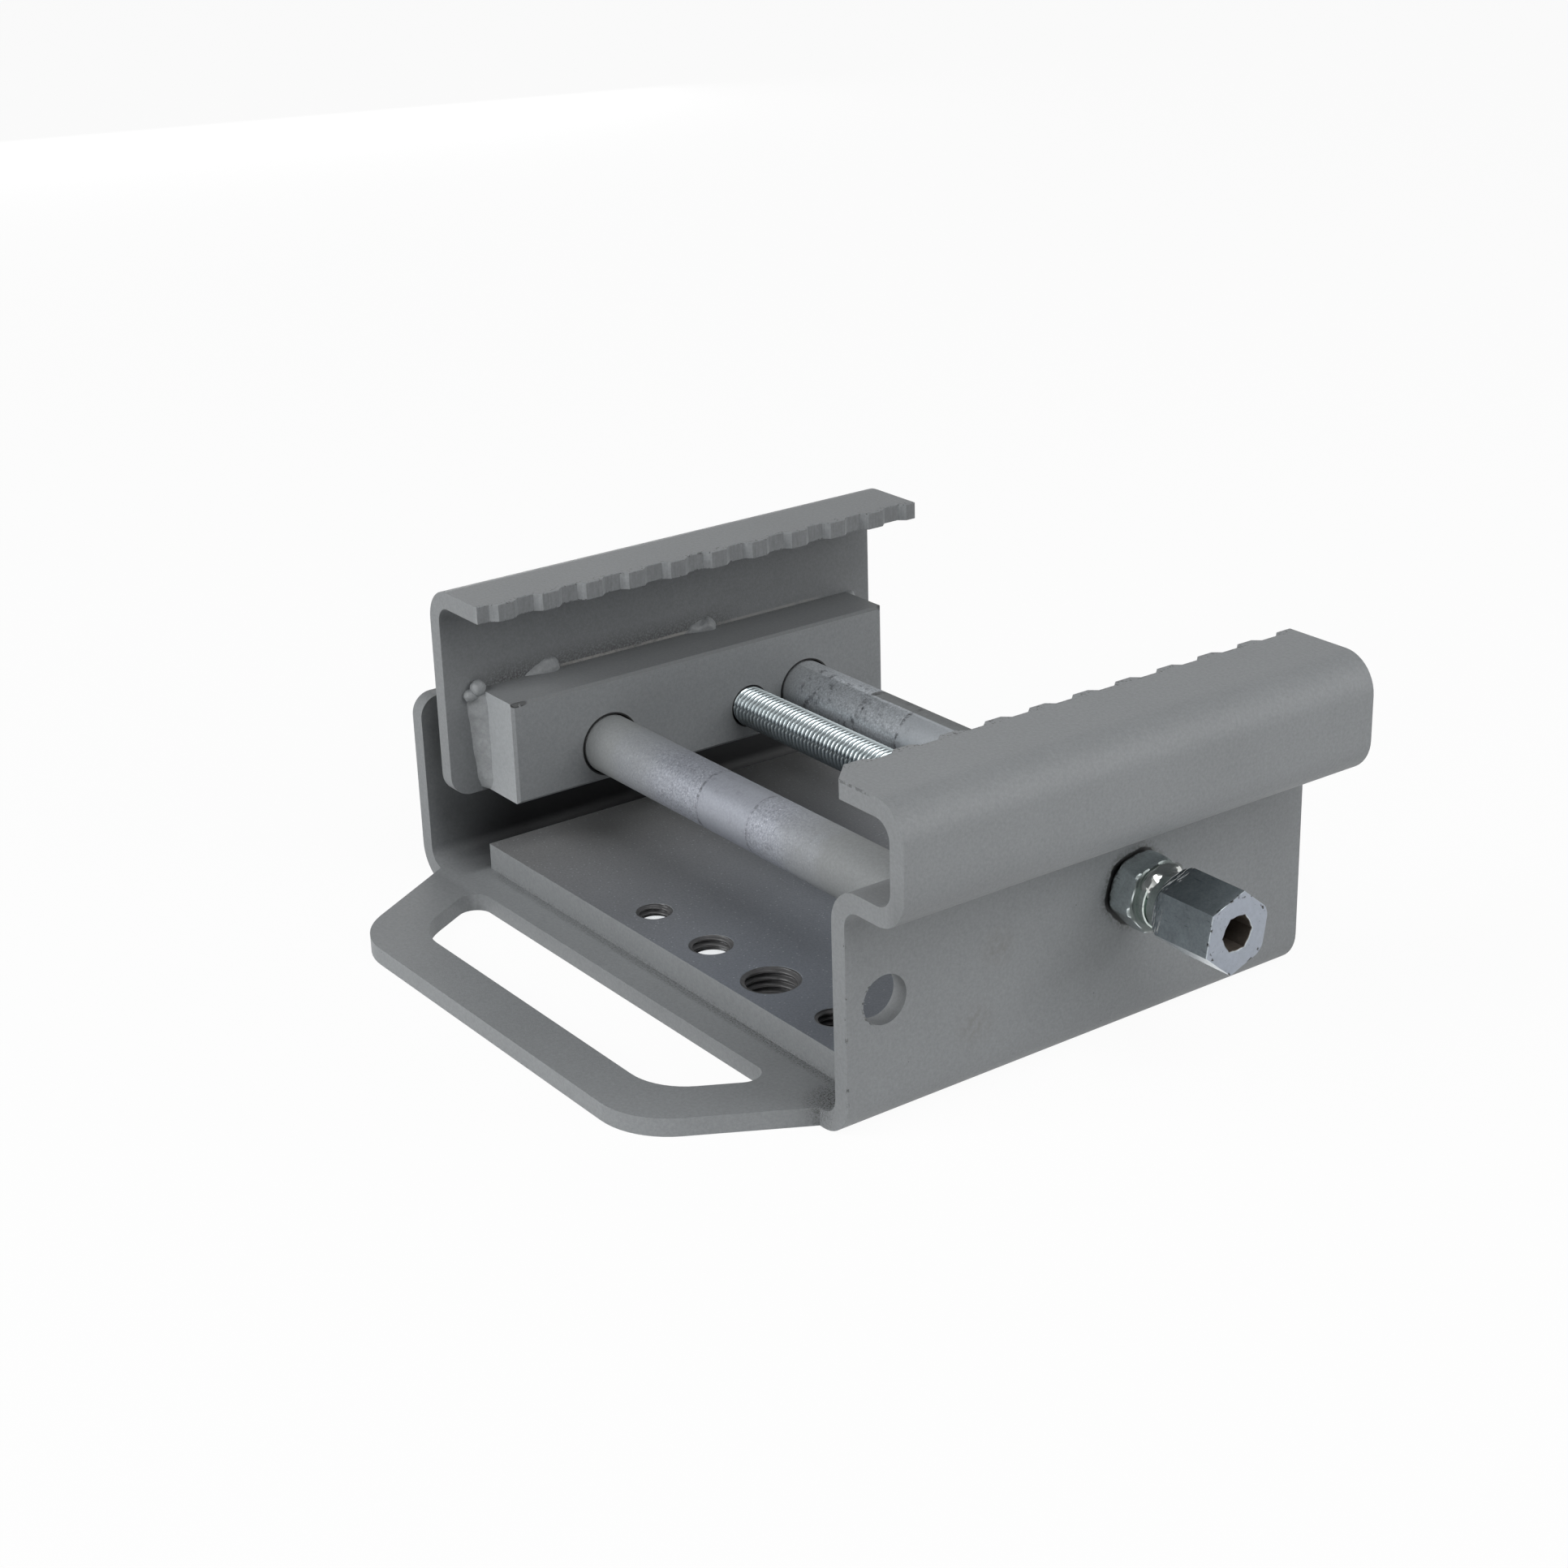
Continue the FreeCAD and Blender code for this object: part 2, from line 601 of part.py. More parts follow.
# A hexagon along local Z with a bore; both end faces get a 30 degree cone on their corners if asked.
# turn is the angle from +Y towards +Z of one of its corners.
def build_hexagon(label, af, length, at, turn, bore_depth, cones):
    body = make_body(label)
    corner = af * (1.0 / math.sqrt(3.0))
    sketch = make_sketch(body, label + "_outline", "XY_Plane")
    points = []
    for k in range(6):
        angle = math.radians(60 * k)
        points.append((corner * math.cos(angle), corner * math.sin(angle)))
    polygon(sketch, points)
    pad(body, sketch, label + "_bar", length)
    sketch = make_sketch(body, label + "_bore", "XY_Plane", bore_depth)
    circle(sketch, dim(0), dim(0), D("spindle_dia") * 0.5)
    pocket(body, sketch, label + "_bore_cut", bore_depth + 1.0)
    for end in cones:
        level = dim(0) if end == "start" else length
        inward = 1 if end == "start" else -1
        flat = af * 0.475
        reach = corner + 0.5
        sketch = make_sketch(body, label + "_cone_" + end, "XZ_Plane")
        fall = (reach - flat) * (math.tan(math.radians(30)) * inward)
        polygon(sketch, [
            (flat, level),
            (reach, level + fall),
            (reach + 1.0, level + fall),
            (reach + 1.0, level - dim(1.0) * inward),
            (flat, level - dim(1.0) * inward),
        ])
        cut = body.newObject("PartDesign::Groove", label + "_cone_cut_" + end)
        cut.Profile = sketch
        cut.ReferenceAxis = (sketch, ["V_Axis"])
        cut.Angle = 360
        before = body.Shape.Volume
        doc.recompute()
        if not body.Shape.Volume < before - 0.01:
            raise RuntimeError("cone cuts nothing: " + label)
    spin = FreeCAD.Rotation(V(1, 0, 0), turn + 90.0) * FreeCAD.Rotation(V(0, 1, 0), 90)
    bind_place(body, at, D("spindle_side"), D("spindle_height"), spin)
    doc.recompute()
    return body


def build_drive_socket(body):
    corner = D("socket_af") * (1.0 / math.sqrt(3.0))
    sketch = make_sketch(body, "socket_outline", "XY_Plane", D("drive_length") + 0.5)
    points = []
    for k in range(6):
        angle = math.radians(60 * k - VALUE["drive_turn"])
        points.append((corner * math.cos(angle), corner * math.sin(angle)))
    polygon(sketch, points)
    pocket(body, sketch, "socket_cut", D("socket_depth") + 0.5)


# welds
# Bead round the upper part of the neck between the head nut and the drive hexagon.
def build_neck_weld():
    body = make_body("neck_weld")
    inner = D("spindle_dia") * 0.5
    outer = inner + D("neck_high")
    start = D("frame_length") + D("head_gap") + D("nut_thk")
    length = drive_start - start
    sketch = make_sketch(body, "neck_profile", "XZ_Plane")
    polygon(sketch, [
        (inner, dim(0)),
        (outer, dim(0)),
        (outer - 1.1, length * 0.35),
        (outer - 1.2, length * 0.65),
        (outer - 0.2, length),
        (inner, length),
    ])
    ring = body.newObject("PartDesign::Revolution", "neck_ring")
    ring.Profile = sketch
    ring.ReferenceAxis = (sketch, ["V_Axis"])
    ring.Angle = 190
    ring.Midplane = True
    spin = FreeCAD.Rotation(V(1, 0, 0), 145) * FreeCAD.Rotation(V(0, 1, 0), 90)
    bind_place(body, from_flange(start), D("spindle_side"), D("spindle_height"), spin)
    doc.recompute()
    return body


# Fillet beads between the block's end faces and the jaw sheet.
def build_block_weld(label, side):
    body = make_body(label)
    back = from_flange(D("jaw_at") + thick)
    end = D("block_offset") + block_length * (0.5 * side)
    sketch = make_sketch(body, label + "_section", "XY_Plane", D("block_bottom"))
    polygon(sketch, [
        (back, end),
        (back + D("block_weld_face"), end),
        (back + D("block_weld_face") * 0.62, end + D("block_weld_side") * (0.62 * side)),
        (back, end + D("block_weld_side") * side),
    ])
    pad(body, sketch, label + "_bead", D("block_height"))
    return body


# Quarter-round tack welds in the corner between the jaw sheet and the block's top.
def build_tack(label, size, distance):
    tack = doc.addObject("Part::Sphere", label)
    tack.Label = label
    tack.Radius = VALUE[size]
    tack.setExpression("Radius", "Dims." + size)
    tack.Angle1 = 0
    tack.Angle2 = 90
    tack.Angle3 = 180
    bind_place(tack, from_flange(D("jaw_at") + thick), from_front(D(distance)),
               D("block_bottom") + D("block_height"), FreeCAD.Rotation(V(0, 0, 1), -90))
    return tack


head_start = from_flange(D("frame_length") + D("head_gap"))
retain_start = from_flange(D("frame_length") - thick - D("head_gap") - D("retain_thk"))

pieces = [
    build_frame(),
    build_threaded_plate(),
    build_rod("guide_rod_front", "rod_front"),
    build_rod("guide_rod_rear", "rod_rear"),
    build_plug("plug_weld_flange_front", "rod_front", left_face),
    build_plug("plug_weld_flange_rear", "rod_rear", left_face),
    build_plug("plug_weld_wall_front", "rod_front", right_face - D("plug_thk")),
    build_plug("plug_weld_wall_rear", "rod_rear", right_face - D("plug_thk")),
    build_jaw_sheet(),
    build_jaw_block(),
    build_block_weld("block_weld_front", -1),
    build_block_weld("block_weld_rear", 1),
    build_tack("tack_weld_corner", "tack_end_size", "tack_one"),
    build_tack("tack_weld_front", "tack_size", "tack_two"),
    build_tack("tack_weld_rear", "tack_size", "tack_three"),
    build_spindle(),
    build_hexagon("head_nut", D("nut_af"), D("nut_thk"), head_start, VALUE["nut_turn"],
                  D("nut_thk") + 0.5, ("start", "end")),
    build_neck_weld(),
    build_hexagon("drive_hexagon", D("drive_af"), D("drive_length"), from_flange(drive_start),
                  VALUE["drive_turn"], spindle_end - drive_start, ("start",)),
    build_hexagon("retaining_nut", D("nut_af"), D("retain_thk"), retain_start, 0.0,
                  D("retain_thk") + 0.5, ("start",)),
]
build_drive_socket(pieces[18])
doc.recompute()

# checks and files
for thing in doc.Objects:
    states = [str(state) for state in thing.State]
    if "Invalid" in states or "Error" in states:
        raise RuntimeError("%s is %s" % (thing.Name, ", ".join(states)))

os.makedirs("parts", exist_ok=True)
for piece in pieces:
    shape = piece.Shape
    if shape.isNull() or not shape.isValid():
        raise RuntimeError("bad shape: " + piece.Label)
    if len(shape.Solids) != 1:
        raise RuntimeError("%s has %d solids" % (piece.Label, len(shape.Solids)))
    shape.exportStep("parts/" + piece.Label + ".step")
    box = shape.BoundBox
    print("%-18s volume %9.1f  X %7.2f %7.2f  Y %7.2f %7.2f  Z %6.2f %6.2f" % (
        piece.Label, shape.Volume, box.XMin, box.XMax, box.YMin, box.YMax, box.ZMin, box.ZMax))
print("pieces", len(pieces))
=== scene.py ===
import math

import bpy
from mathutils import Matrix, Vector, noise


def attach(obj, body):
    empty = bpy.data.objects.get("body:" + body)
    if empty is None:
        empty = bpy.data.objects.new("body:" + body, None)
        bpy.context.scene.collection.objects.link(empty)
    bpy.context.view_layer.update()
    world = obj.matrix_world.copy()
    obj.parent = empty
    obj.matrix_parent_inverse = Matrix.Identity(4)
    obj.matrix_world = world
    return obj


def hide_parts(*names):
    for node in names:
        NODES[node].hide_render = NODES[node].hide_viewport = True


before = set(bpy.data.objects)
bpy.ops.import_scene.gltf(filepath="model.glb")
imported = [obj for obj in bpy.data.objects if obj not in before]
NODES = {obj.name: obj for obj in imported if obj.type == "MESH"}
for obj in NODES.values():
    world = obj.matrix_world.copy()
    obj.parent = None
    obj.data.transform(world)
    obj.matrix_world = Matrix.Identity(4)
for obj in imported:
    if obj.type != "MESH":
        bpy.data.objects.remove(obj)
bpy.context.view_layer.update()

MM = 0.001

# Places and sizes shared with the model's source, in millimetres.
SHEET = 5.0
WALL_FACE = 102.0               # outer side of the high wall, in X
LIP_TOP = 94.0                  # top of the fixed lip
JAW_TOP = 93.0                  # top of the moving lip
PLATE_TOP = 13.0
PLAIN_HOLE = (-63.4, 34.8)      # Y and Z of the plain hole in the high wall
HOLE_Y = -52.8
HOLES = [("left", -13.6, 10.0, 1.5), ("middle", 13.45, 12.0, 1.75),      # name, X, thread's size, pitch
         ("large", 40.5, 16.0, 2.0), ("right", 67.55, 10.0, 1.5)]
ROD_FRONT = (-32.5, 41.5)       # Y and Z of the rods' axes
ROD_REAR = (37.0, 41.5)
BLOCK_BACK = -82.0
BLOCK_TOP = 61.0
BLOCK_BOTTOM = 31.0
BLOCK_ENDS = (-64.0, 66.0)
AXIS_Y, AXIS_Z = 16.4, 41.0     # the spindle's axis
SPINDLE = dict(start=-94.0, thread_end=101.0, end=123.4, radius=6.0, depth=1.07, pitch=1.75)
NUT_RUN = (102.5, 110.5)        # the drive head's parts along X
NECK = (110.5, 117.5)
HEX_RUN = (117.5, 138.0)
NUT_FLATS, NUT_CORNER = 18.0, 12.0
HEX_FLATS, HEX_CORNER = 19.0, 20.0
SOCKET_FLATS = 8.5
FIT = 0.02                      # how far the drawn shapes stay inside the CAD's


# ---------- meshes

def skin(rows, flip=False, loop=False, start=0):
    """Quads over equal rings of points; loop joins the last ring to the first one."""
    size = len(rows[0])
    count = len(rows) * size
    faces = []
    for i in range(len(rows) if loop else len(rows) - 1):
        for j in range(size):
            k = (j + 1) % size
            face = (i * size + j, i * size + k, (i + 1) * size + k, (i + 1) * size + j)
            faces.append(tuple(start + v % count for v in (reversed(face) if flip else face)))
    return faces


def caps(rows, flip=False, start=0):
    """The first and the last ring as faces."""
    size = len(rows[0])
    first = tuple(range(start, start + size))
    last = tuple(v + (len(rows) - 1) * size for v in first)
    return [first, last[::-1]] if flip else [first[::-1], last]


def solid(rows, flip=False, start=0):
    """Skin over equal rings, closed by the first and the last ring."""
    return skin(rows, flip, start=start) + caps(rows, flip, start)


def points(rows):
    return [point for row in rows for point in row]


def on_axis(x, radius, angle):
    """Point at a radius and an angle, in radians, round the spindle's axis."""
    return (x, AXIS_Y + radius * math.cos(angle), AXIS_Z + radius * math.sin(angle))


def hexagon_radius(flats, angle, corner):
    """Radius of a hexagon at an angle, both in degrees, with a corner at the given one."""
    return flats / 2 / math.cos(math.radians((angle - corner) % 60.0 - 30.0))


def lumps(point, scale, seed=0.0):
    """Smooth noise between about -1 and 1."""
    return noise.noise(Vector(point) * scale + Vector((seed, seed * 2.0, -seed)))


def lumps_round(x, radius, degrees, scale, seed):
    """The same at a point round an axis along X."""
    angle = math.radians(degrees)
    return lumps((x, radius * math.cos(angle), radius * math.sin(angle)), scale, seed)


def add_mesh(name, verts, faces, material, body, sharp, replaces=()):
    """Adds a smooth mesh, given in millimetres; edges that turn by more than sharp degrees stay sharp."""
    mesh = bpy.data.meshes.new(name)
    mesh.from_pydata([Vector(v) * MM for v in verts], [], faces)
    mesh.validate()
    mesh.update()
    mesh.materials.append(material)
    for face in mesh.polygons:
        face.use_smooth = True
    mesh.set_sharp_from_angle(angle=math.radians(sharp))
    obj = bpy.data.objects.new(name, mesh)
    bpy.context.scene.collection.objects.link(obj)
    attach(obj, body)
    if replaces:
        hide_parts(*replaces)


# ---------- material nodes

class Shader:
    """A Principled material and the nodes that feed it. Places are in the object's own millimetres."""

    def __init__(self, name):
        self.material = bpy.data.materials.new(name)
        self.material.use_nodes = True
        self.tree = self.material.node_tree
        self.bsdf = self.tree.nodes["Principled BSDF"]
        self.mm = self.vector("SCALE", self.node("TexCoord").outputs["Object"], scale=1.0 / MM)
        self.x, self.y, self.z = self.split(self.mm)
        turned = self.node("VectorTransform", vector_type="NORMAL", convert_from="WORLD", convert_to="OBJECT")
        self.put(turned.inputs[0], self.node("NewGeometry").outputs["Normal"])
        self.nx, self.ny, self.nz = self.split(turned.outputs[0])

    def node(self, kind, **settings):
        node = self.tree.nodes.new("ShaderNode" + kind)
        for name, value in settings.items():
            setattr(node, name, value)
        return node

    def put(self, socket, value):
        """Links a node's output to the socket, or sets the socket to a plain value."""
        if isinstance(value, bpy.types.NodeSocket):
            self.tree.links.new(value, socket)
        else:
            socket.default_value = value

    def split(self, value):
        node = self.node("SeparateXYZ")
        self.put(node.inputs[0], value)
        return node.outputs

    def math(self, op, a, b=0.0):
        node = self.node("Math", operation=op)
        self.put(node.inputs[0], a)
        self.put(node.inputs[1], b)
        return node.outputs[0]

    def fold(self, op, values):
        total = values[0]
        for value in values[1:]:
            total = self.math(op, total, value)
        return total

    def all(self, *masks):
        return self.fold("MULTIPLY", masks)

    def any(self, *masks):
        return self.fold("MAXIMUM", masks)

    def sum(self, *values):
        return self.fold("ADD", values)

    def size(self, value):
        return self.math("ABSOLUTE", value)

    def vector(self, op, a, b=None, scale=None):
        node = self.node("VectorMath", operation=op)
        self.put(node.inputs[0], a)
        if b is not None:
            self.put(node.inputs[1], b)
        if scale is not None:
            self.put(node.inputs["Scale"], scale)
        return node.outputs["Value"] if op in ("DISTANCE", "DOT_PRODUCT") else node.outputs[0]

    def ramp(self, value, low, high, start=0.0, end=1.0):
        """start at low, end at high, straight in between and level beyond; low may be the larger."""
        node = self.node("MapRange")
        given = {"Value": value, "From Min": low, "From Max": high, "To Min": start, "To Max": end}
        for name, number in given.items():
            self.put(node.inputs[name], number)
        return node.outputs[0]

    def fall(self, value, low, high):
        """1 below low, 0 above high."""
        return self.ramp(value, low, high, 1.0, 0.0)

    def band(self, value, low, high, soft=0.3):
        """1 between low and high, with soft edges outside them."""
        return self.all(self.ramp(value, low - soft, low), self.fall(value, high, high + soft))

    def near(self, point, low, high):
        """1 closer than low to the point, 0 beyond high."""
        return self.fall(self.vector("DISTANCE", self.mm, point), low, high)

    def from_line(self, y, z):
        """Distance from a line along X."""
        return self.vector("DISTANCE", self.vector("MULTIPLY", self.mm, (0.0, 1.0, 1.0)), (0.0, y, z))

    def noise(self, scale, detail=2.0, stretch=None, rough=0.5):
        node = self.node("TexNoise")
        place = self.mm if stretch is None else self.vector("MULTIPLY", self.mm, stretch)
        for name, value in (("Vector", place), ("Scale", scale), ("Detail", detail), ("Roughness", rough)):
            self.put(node.inputs[name], value)
        return node.outputs["Fac"]

    def spots(self, scale, detail, low, high, start=0.0, end=1.0, **more):
        """Noise turned into start where it is below low and end where it is above high."""
        return self.ramp(self.noise(scale, detail, **more), low, high, start, end)

    def specks(self, scale, size, share):
        """Round specks of a radius given as a part of the cell, in a share of the cells."""
        node = self.node("TexVoronoi")
        self.put(node.inputs["Scale"], scale)
        self.put(node.inputs["Vector"], self.mm)
        drawn = self.node("SeparateColor")
        self.put(drawn.inputs[0], node.outputs["Color"])
        spot = self.fall(node.outputs["Distance"], size * 0.6, size)
        return self.all(spot, self.fall(drawn.outputs[0], share, share + 0.01))

    def mix(self, factor, a, b, blend="MIX"):
        node = self.node("Mix", data_type="RGBA", blend_type=blend)
        for index, value in ((0, factor), (6, a), (7, b)):
            self.put(node.inputs[index], value)
        return node.outputs[2]

    def over(self, colour, mask, strength, other):
        """Another colour laid over this one where the mask is 1."""
        return self.mix(self.all(mask, strength), colour, other)

    def scaled(self, colour, factor):
        """The colour times a number."""
        grey = self.node("CombineColor")
        for socket in grey.inputs[:3]:
            self.put(socket, factor)
        return self.mix(1.0, colour, grey.outputs[0], "MULTIPLY")

    def tinted(self, colour, mask, factor):
        """The colour times a number where the mask is 1."""
        return self.scaled(colour, self.ramp(mask, 0.0, 1.0, 1.0, factor))

    def finish(self, colour, roughness, height, strength, depth, metallic=0.0):
        """Feeds the shader; height is a bump of the given strength and depth in millimetres."""
        bump = self.node("Bump")
        self.put(bump.inputs["Strength"], strength)
        self.put(bump.inputs["Distance"], depth * MM)
        self.put(bump.inputs["Height"], height)
        inputs = {"Base Color": colour, "Roughness": roughness, "Metallic": metallic, "Normal": bump.outputs[0]}
        for name, value in inputs.items():
            self.put(self.bsdf.inputs[name], value)
        return self.material


def rgb(r, g, b):
    """Linear colour of an sRGB colour given in 0 to 255."""
    def linear(c):
        c /= 255.0
        return c / 12.92 if c <= 0.04045 else ((c + 0.055) / 1.055) ** 2.4
    return (linear(r), linear(g), linear(b), 1.0)


PAINT = rgb(133, 136, 138)
DARK = rgb(38, 38, 40)
SOOT = rgb(56, 56, 57)
BLACK = rgb(8, 8, 9)
MATTE = 0.56                    # the paint's roughness
PAINT_BUMP = (0.35, 0.12)       # strength, and depth in millimetres
FAR_SIDE = (0.0, 0.553, 0.833)  # direction across the rods, upwards and to the rear


def painted(s, base=PAINT):
    """Matte sprayed paint: fine grain, faint mottling and a few dark specks. Gives colour and height."""
    def centred(scale, detail, amount, **more):
        return s.all(s.math("SUBTRACT", s.noise(scale, detail, **more), 0.5), amount)
    level = s.sum(1.0, centred(1.15, 4.0, 0.55, rough=0.72), centred(0.045, 2.0, 0.10))
    colour = s.over(s.scaled(base, level), s.specks(0.16, 0.035, 0.45), 0.7, DARK)
    return colour, s.sum(s.noise(2.6), s.all(s.noise(0.55), 0.6))


def cut_lip(s, colour, height, tip, top):
    """The lip's saw-cut teeth: striations down the cut faces and chipped dark edges. tip masks them along X."""
    low = top - SHEET
    faces = s.all(tip, s.fall(s.size(s.nz), 0.35, 0.5), s.band(s.z, low, top, 0.1))
    lines = s.noise(1.5, 3.0, stretch=(1.0, 1.0, 0.16))
    colour = s.over(colour, faces, 0.55, s.scaled(colour, s.ramp(lines, 0.3, 0.7, 0.78, 1.16)))
    edges = s.any(s.band(s.z, low - 0.2, low + 0.35, 0.15), s.band(s.z, top - 0.3, top + 0.2, 0.15))
    chips = s.all(tip, edges, s.spots(1.3, 3.0, 0.58, 0.66, stretch=(1.0, 1.0, 0.6)))
    colour = s.over(colour, chips, 0.7, DARK)
    return colour, s.sum(height, s.all(faces, lines, 2.2))


def nut_outline(s):
    """Distance from the spindle's axis, measured so that it is even along the head nut's worn outline."""
    centred = s.vector("SUBTRACT", s.mm, (0.0, AXIS_Y, AXIS_Z))
    sides = []
    for turn in (30.0, 90.0, 150.0):
        angle = math.radians(NUT_CORNER + turn)
        sides.append(s.size(s.vector("DOT_PRODUCT", centred, (0.0, math.cos(angle), math.sin(angle)))))
    return s.any(*sides, s.math("SUBTRACT", s.from_line(AXIS_Y, AXIS_Z), 0.6))


def frame_paint():
    s = Shader("frame_paint")
    colour, height = painted(s)
    # painted light and shade on the front loop: its outer edge lighter, its top a little darker towards the low
    # flange
    loop_side = s.all(s.ramp(s.ny, -0.2, -0.6), s.fall(s.z, 5.2, 5.5), s.ramp(s.y, -76.0, -77.0))
    loop_top = s.all(s.ramp(s.nz, 0.7, 0.9), s.ramp(s.y, -76.0, -78.0), s.ramp(s.x, -20.0, -80.0))
    colour = s.tinted(s.tinted(colour, loop_side, 1.16), loop_top, 0.85)
    # the toothed lip, with chips at its front end
    colour, height = cut_lip(s, colour, height, s.fall(s.x, 97.4, 97.8), LIP_TOP)
    lip_end = s.all(s.ramp(s.ny, -0.3, -0.7), s.band(s.z, LIP_TOP - 0.7, LIP_TOP + 0.2, 0.15),
                    s.band(s.x, 92.0, 112.0), s.spots(0.9, 3.0, 0.44, 0.54))
    colour = s.over(colour, lip_end, 0.5, DARK)
    # rough dark seam under the thick plate's front edge, and a bubbly patch beside the high wall
    speckle = s.spots(2.0, 3.0, 0.48, 0.58, rough=0.75)
    seam = s.all(s.band(s.y, -65.6, -64.0, 1.3), s.band(s.z, 3.0, 5.6), s.band(s.x, -76.0, 92.0, 4.0), speckle,
                 s.ramp(s.x, -60.0, 60.0, 0.4, 0.75))
    patch = s.all(s.near((90.0, -69.5, SHEET), 4.0, 9.5), s.fall(s.z, 9.0, 12.0), speckle, 0.95)
    rough = s.any(seam, patch)
    colour = s.mix(rough, colour, rgb(52, 52, 51))
    height = s.math("SUBTRACT", height, s.all(rough, 3.0))
    # the low flange's inside and the strip of base behind the plate: partly darker bare steel where hardly any paint
    # reached, partly painted shade under the block
    inside = s.all(s.fall(s.x, -85.0, -82.5), s.ramp(s.x, -101.9, -101.5), s.ramp(s.y, -74.0, -46.0),
                   s.ramp(s.z, 1.0, 2.0), s.fall(s.y, 66.0, 76.0), s.fall(s.z, 52.0, 55.9))
    colour = s.over(colour, inside, 0.8, rgb(30, 32, 38))
    # more painted shade there, nearly black low down and fading out higher up
    colour = s.over(colour, inside, s.ramp(s.z, 12.0, 34.0, 0.8, 0.0), rgb(6, 7, 9))
    # brown stains over the front rod's welded end and under it
    stain = s.any(s.near((WALL_FACE, -28.6, 37.8), 1.5, 7.0), s.near((WALL_FACE, -35.8, 19.4), 1.5, 8.0))
    stain = s.all(stain, s.ramp(s.nx, 0.7, 0.9), s.spots(0.5, 3.0, 0.35, 0.65))
    colour = s.over(colour, stain, 0.30, rgb(104, 98, 90))
    # painted shade: darker towards the step's lower bend, most of all at its front end
    bend_shade = s.all(s.ramp(s.x, 118.0, 121.0), s.ramp(s.z, 77.0, 65.0), s.ramp(s.y, 10.0, -75.0))
    colour = s.tinted(colour, bend_shade, 0.80)
    # scraped ring round the head nut, and a painted shadow of the gap just round the nut's outline
    ragged = s.sum(nut_outline(s), s.all(s.noise(0.6, 3.0), 0.9))
    outer = s.all(s.ramp(s.x, WALL_FACE - 1.0, WALL_FACE - 0.4), s.fall(s.x, WALL_FACE + 1.0, WALL_FACE + 2.0))
    scraped = s.all(outer, s.ramp(ragged, 10.3, 12.4, 0.55, 0.0), s.spots(1.3, 3.0, 0.38, 0.6))
    colour = s.mix(scraped, colour, rgb(66, 63, 59))
    # painted shadow of the gap between nut and wall: black just round the nut's outline
    colour = s.mix(s.all(outer, s.fall(ragged, 10.0, 10.35)), colour, BLACK)
    # chipped paint at the plain hole's front side and along the wall's cut edge
    rim = s.all(s.band(s.from_line(*PLAIN_HOLE), 6.3, 6.9, 0.15), s.ramp(s.y, -66.5, -68.0),
                s.ramp(s.x, 100.8, 101.2), s.spots(1.1, 3.0, 0.50, 0.58))
    cut_edge = s.all(s.ramp(s.y, -74.5, -74.7), s.ramp(s.x, 101.3, 101.6), s.band(s.z, 8.0, 60.0, 2.0),
                     s.spots(0.45, 4.0, 0.58, 0.64, rough=0.7))
    colour = s.over(colour, s.any(rim, cut_edge), 0.7, DARK)
    # bare drilled walls under the two smaller threaded holes
    flat_place = s.vector("MULTIPLY", s.mm, (1.0, 1.0, 0.0))
    bores = [s.fall(s.vector("DISTANCE", flat_place, (x, HOLE_Y, 0.0)), size / 2 + 0.8, size / 2 + 0.9)
             for word, x, size, pitch in HOLES[:2]]
    drilled = s.all(s.fall(s.size(s.nz), 0.3, 0.4), s.any(*bores))
    colour = s.mix(drilled, colour, rgb(246, 247, 248))
    strength, depth = PAINT_BUMP
    return s.finish(colour, s.ramp(drilled, 0.0, 1.0, MATTE, 0.10), height,
                    s.ramp(drilled, 0.0, 1.0, strength, 0.0), depth, drilled)


def jaw_paint():
    s = Shader("jaw_paint")
    colour, height = painted(s)
    tip = s.ramp(s.x, -61.4, -61.0)
    colour, height = cut_lip(s, colour, height, tip, JAW_TOP)
    low = JAW_TOP - SHEET
    # darker tooth faces; painted shade on the lip top and painted light on the flanks, which are paler
    teeth = s.all(tip, s.band(s.z, low, JAW_TOP - 0.4, 0.3), s.fall(s.size(s.ny), 0.35, 0.55), s.fall(s.nz, 0.5, 0.7))
    colour = s.over(colour, teeth, 0.22, SOOT)
    lip_top = s.all(s.ramp(s.nz, 0.7, 0.9), s.ramp(s.z, JAW_TOP - 1.0, JAW_TOP - 0.2))
    flanks = s.all(tip, s.band(s.z, low, JAW_TOP - 0.1, 0.1), s.ramp(s.ny, -0.35, -0.6))
    colour = s.tinted(s.tinted(colour, lip_top, 0.90), flanks, 1.12)
    # the shaded inner face, dark overspray above the block, and the seam's pale line
    front = s.ramp(s.nx, 0.7, 0.9)
    colour = s.tinted(colour, s.all(front, s.fall(s.x, -75.0, -74.0)), 0.82)
    spray = s.all(front, s.ramp(s.z, BLOCK_TOP - 0.4, BLOCK_TOP + 0.2), s.fall(s.z, BLOCK_TOP + 0.6, BLOCK_TOP + 7.0),
                  s.band(s.y, -56.0, 16.0, 12.0), s.spots(1.9, 3.0, 0.34, 0.56))
    colour = s.over(colour, spray, 0.72, SOOT)
    span = s.any(s.band(s.y, -36.0, 9.0, 2.0), s.all(s.band(s.y, 19.0, 52.0, 6.0), 0.6))
    line = s.all(front, s.band(s.z, BLOCK_TOP, BLOCK_TOP + 0.7, 0.25), span, s.spots(0.3, 3.0, 0.25, 0.55))
    colour = s.over(colour, line, 0.8, rgb(160, 159, 156))
    return s.finish(colour, MATTE, height, *PAINT_BUMP)


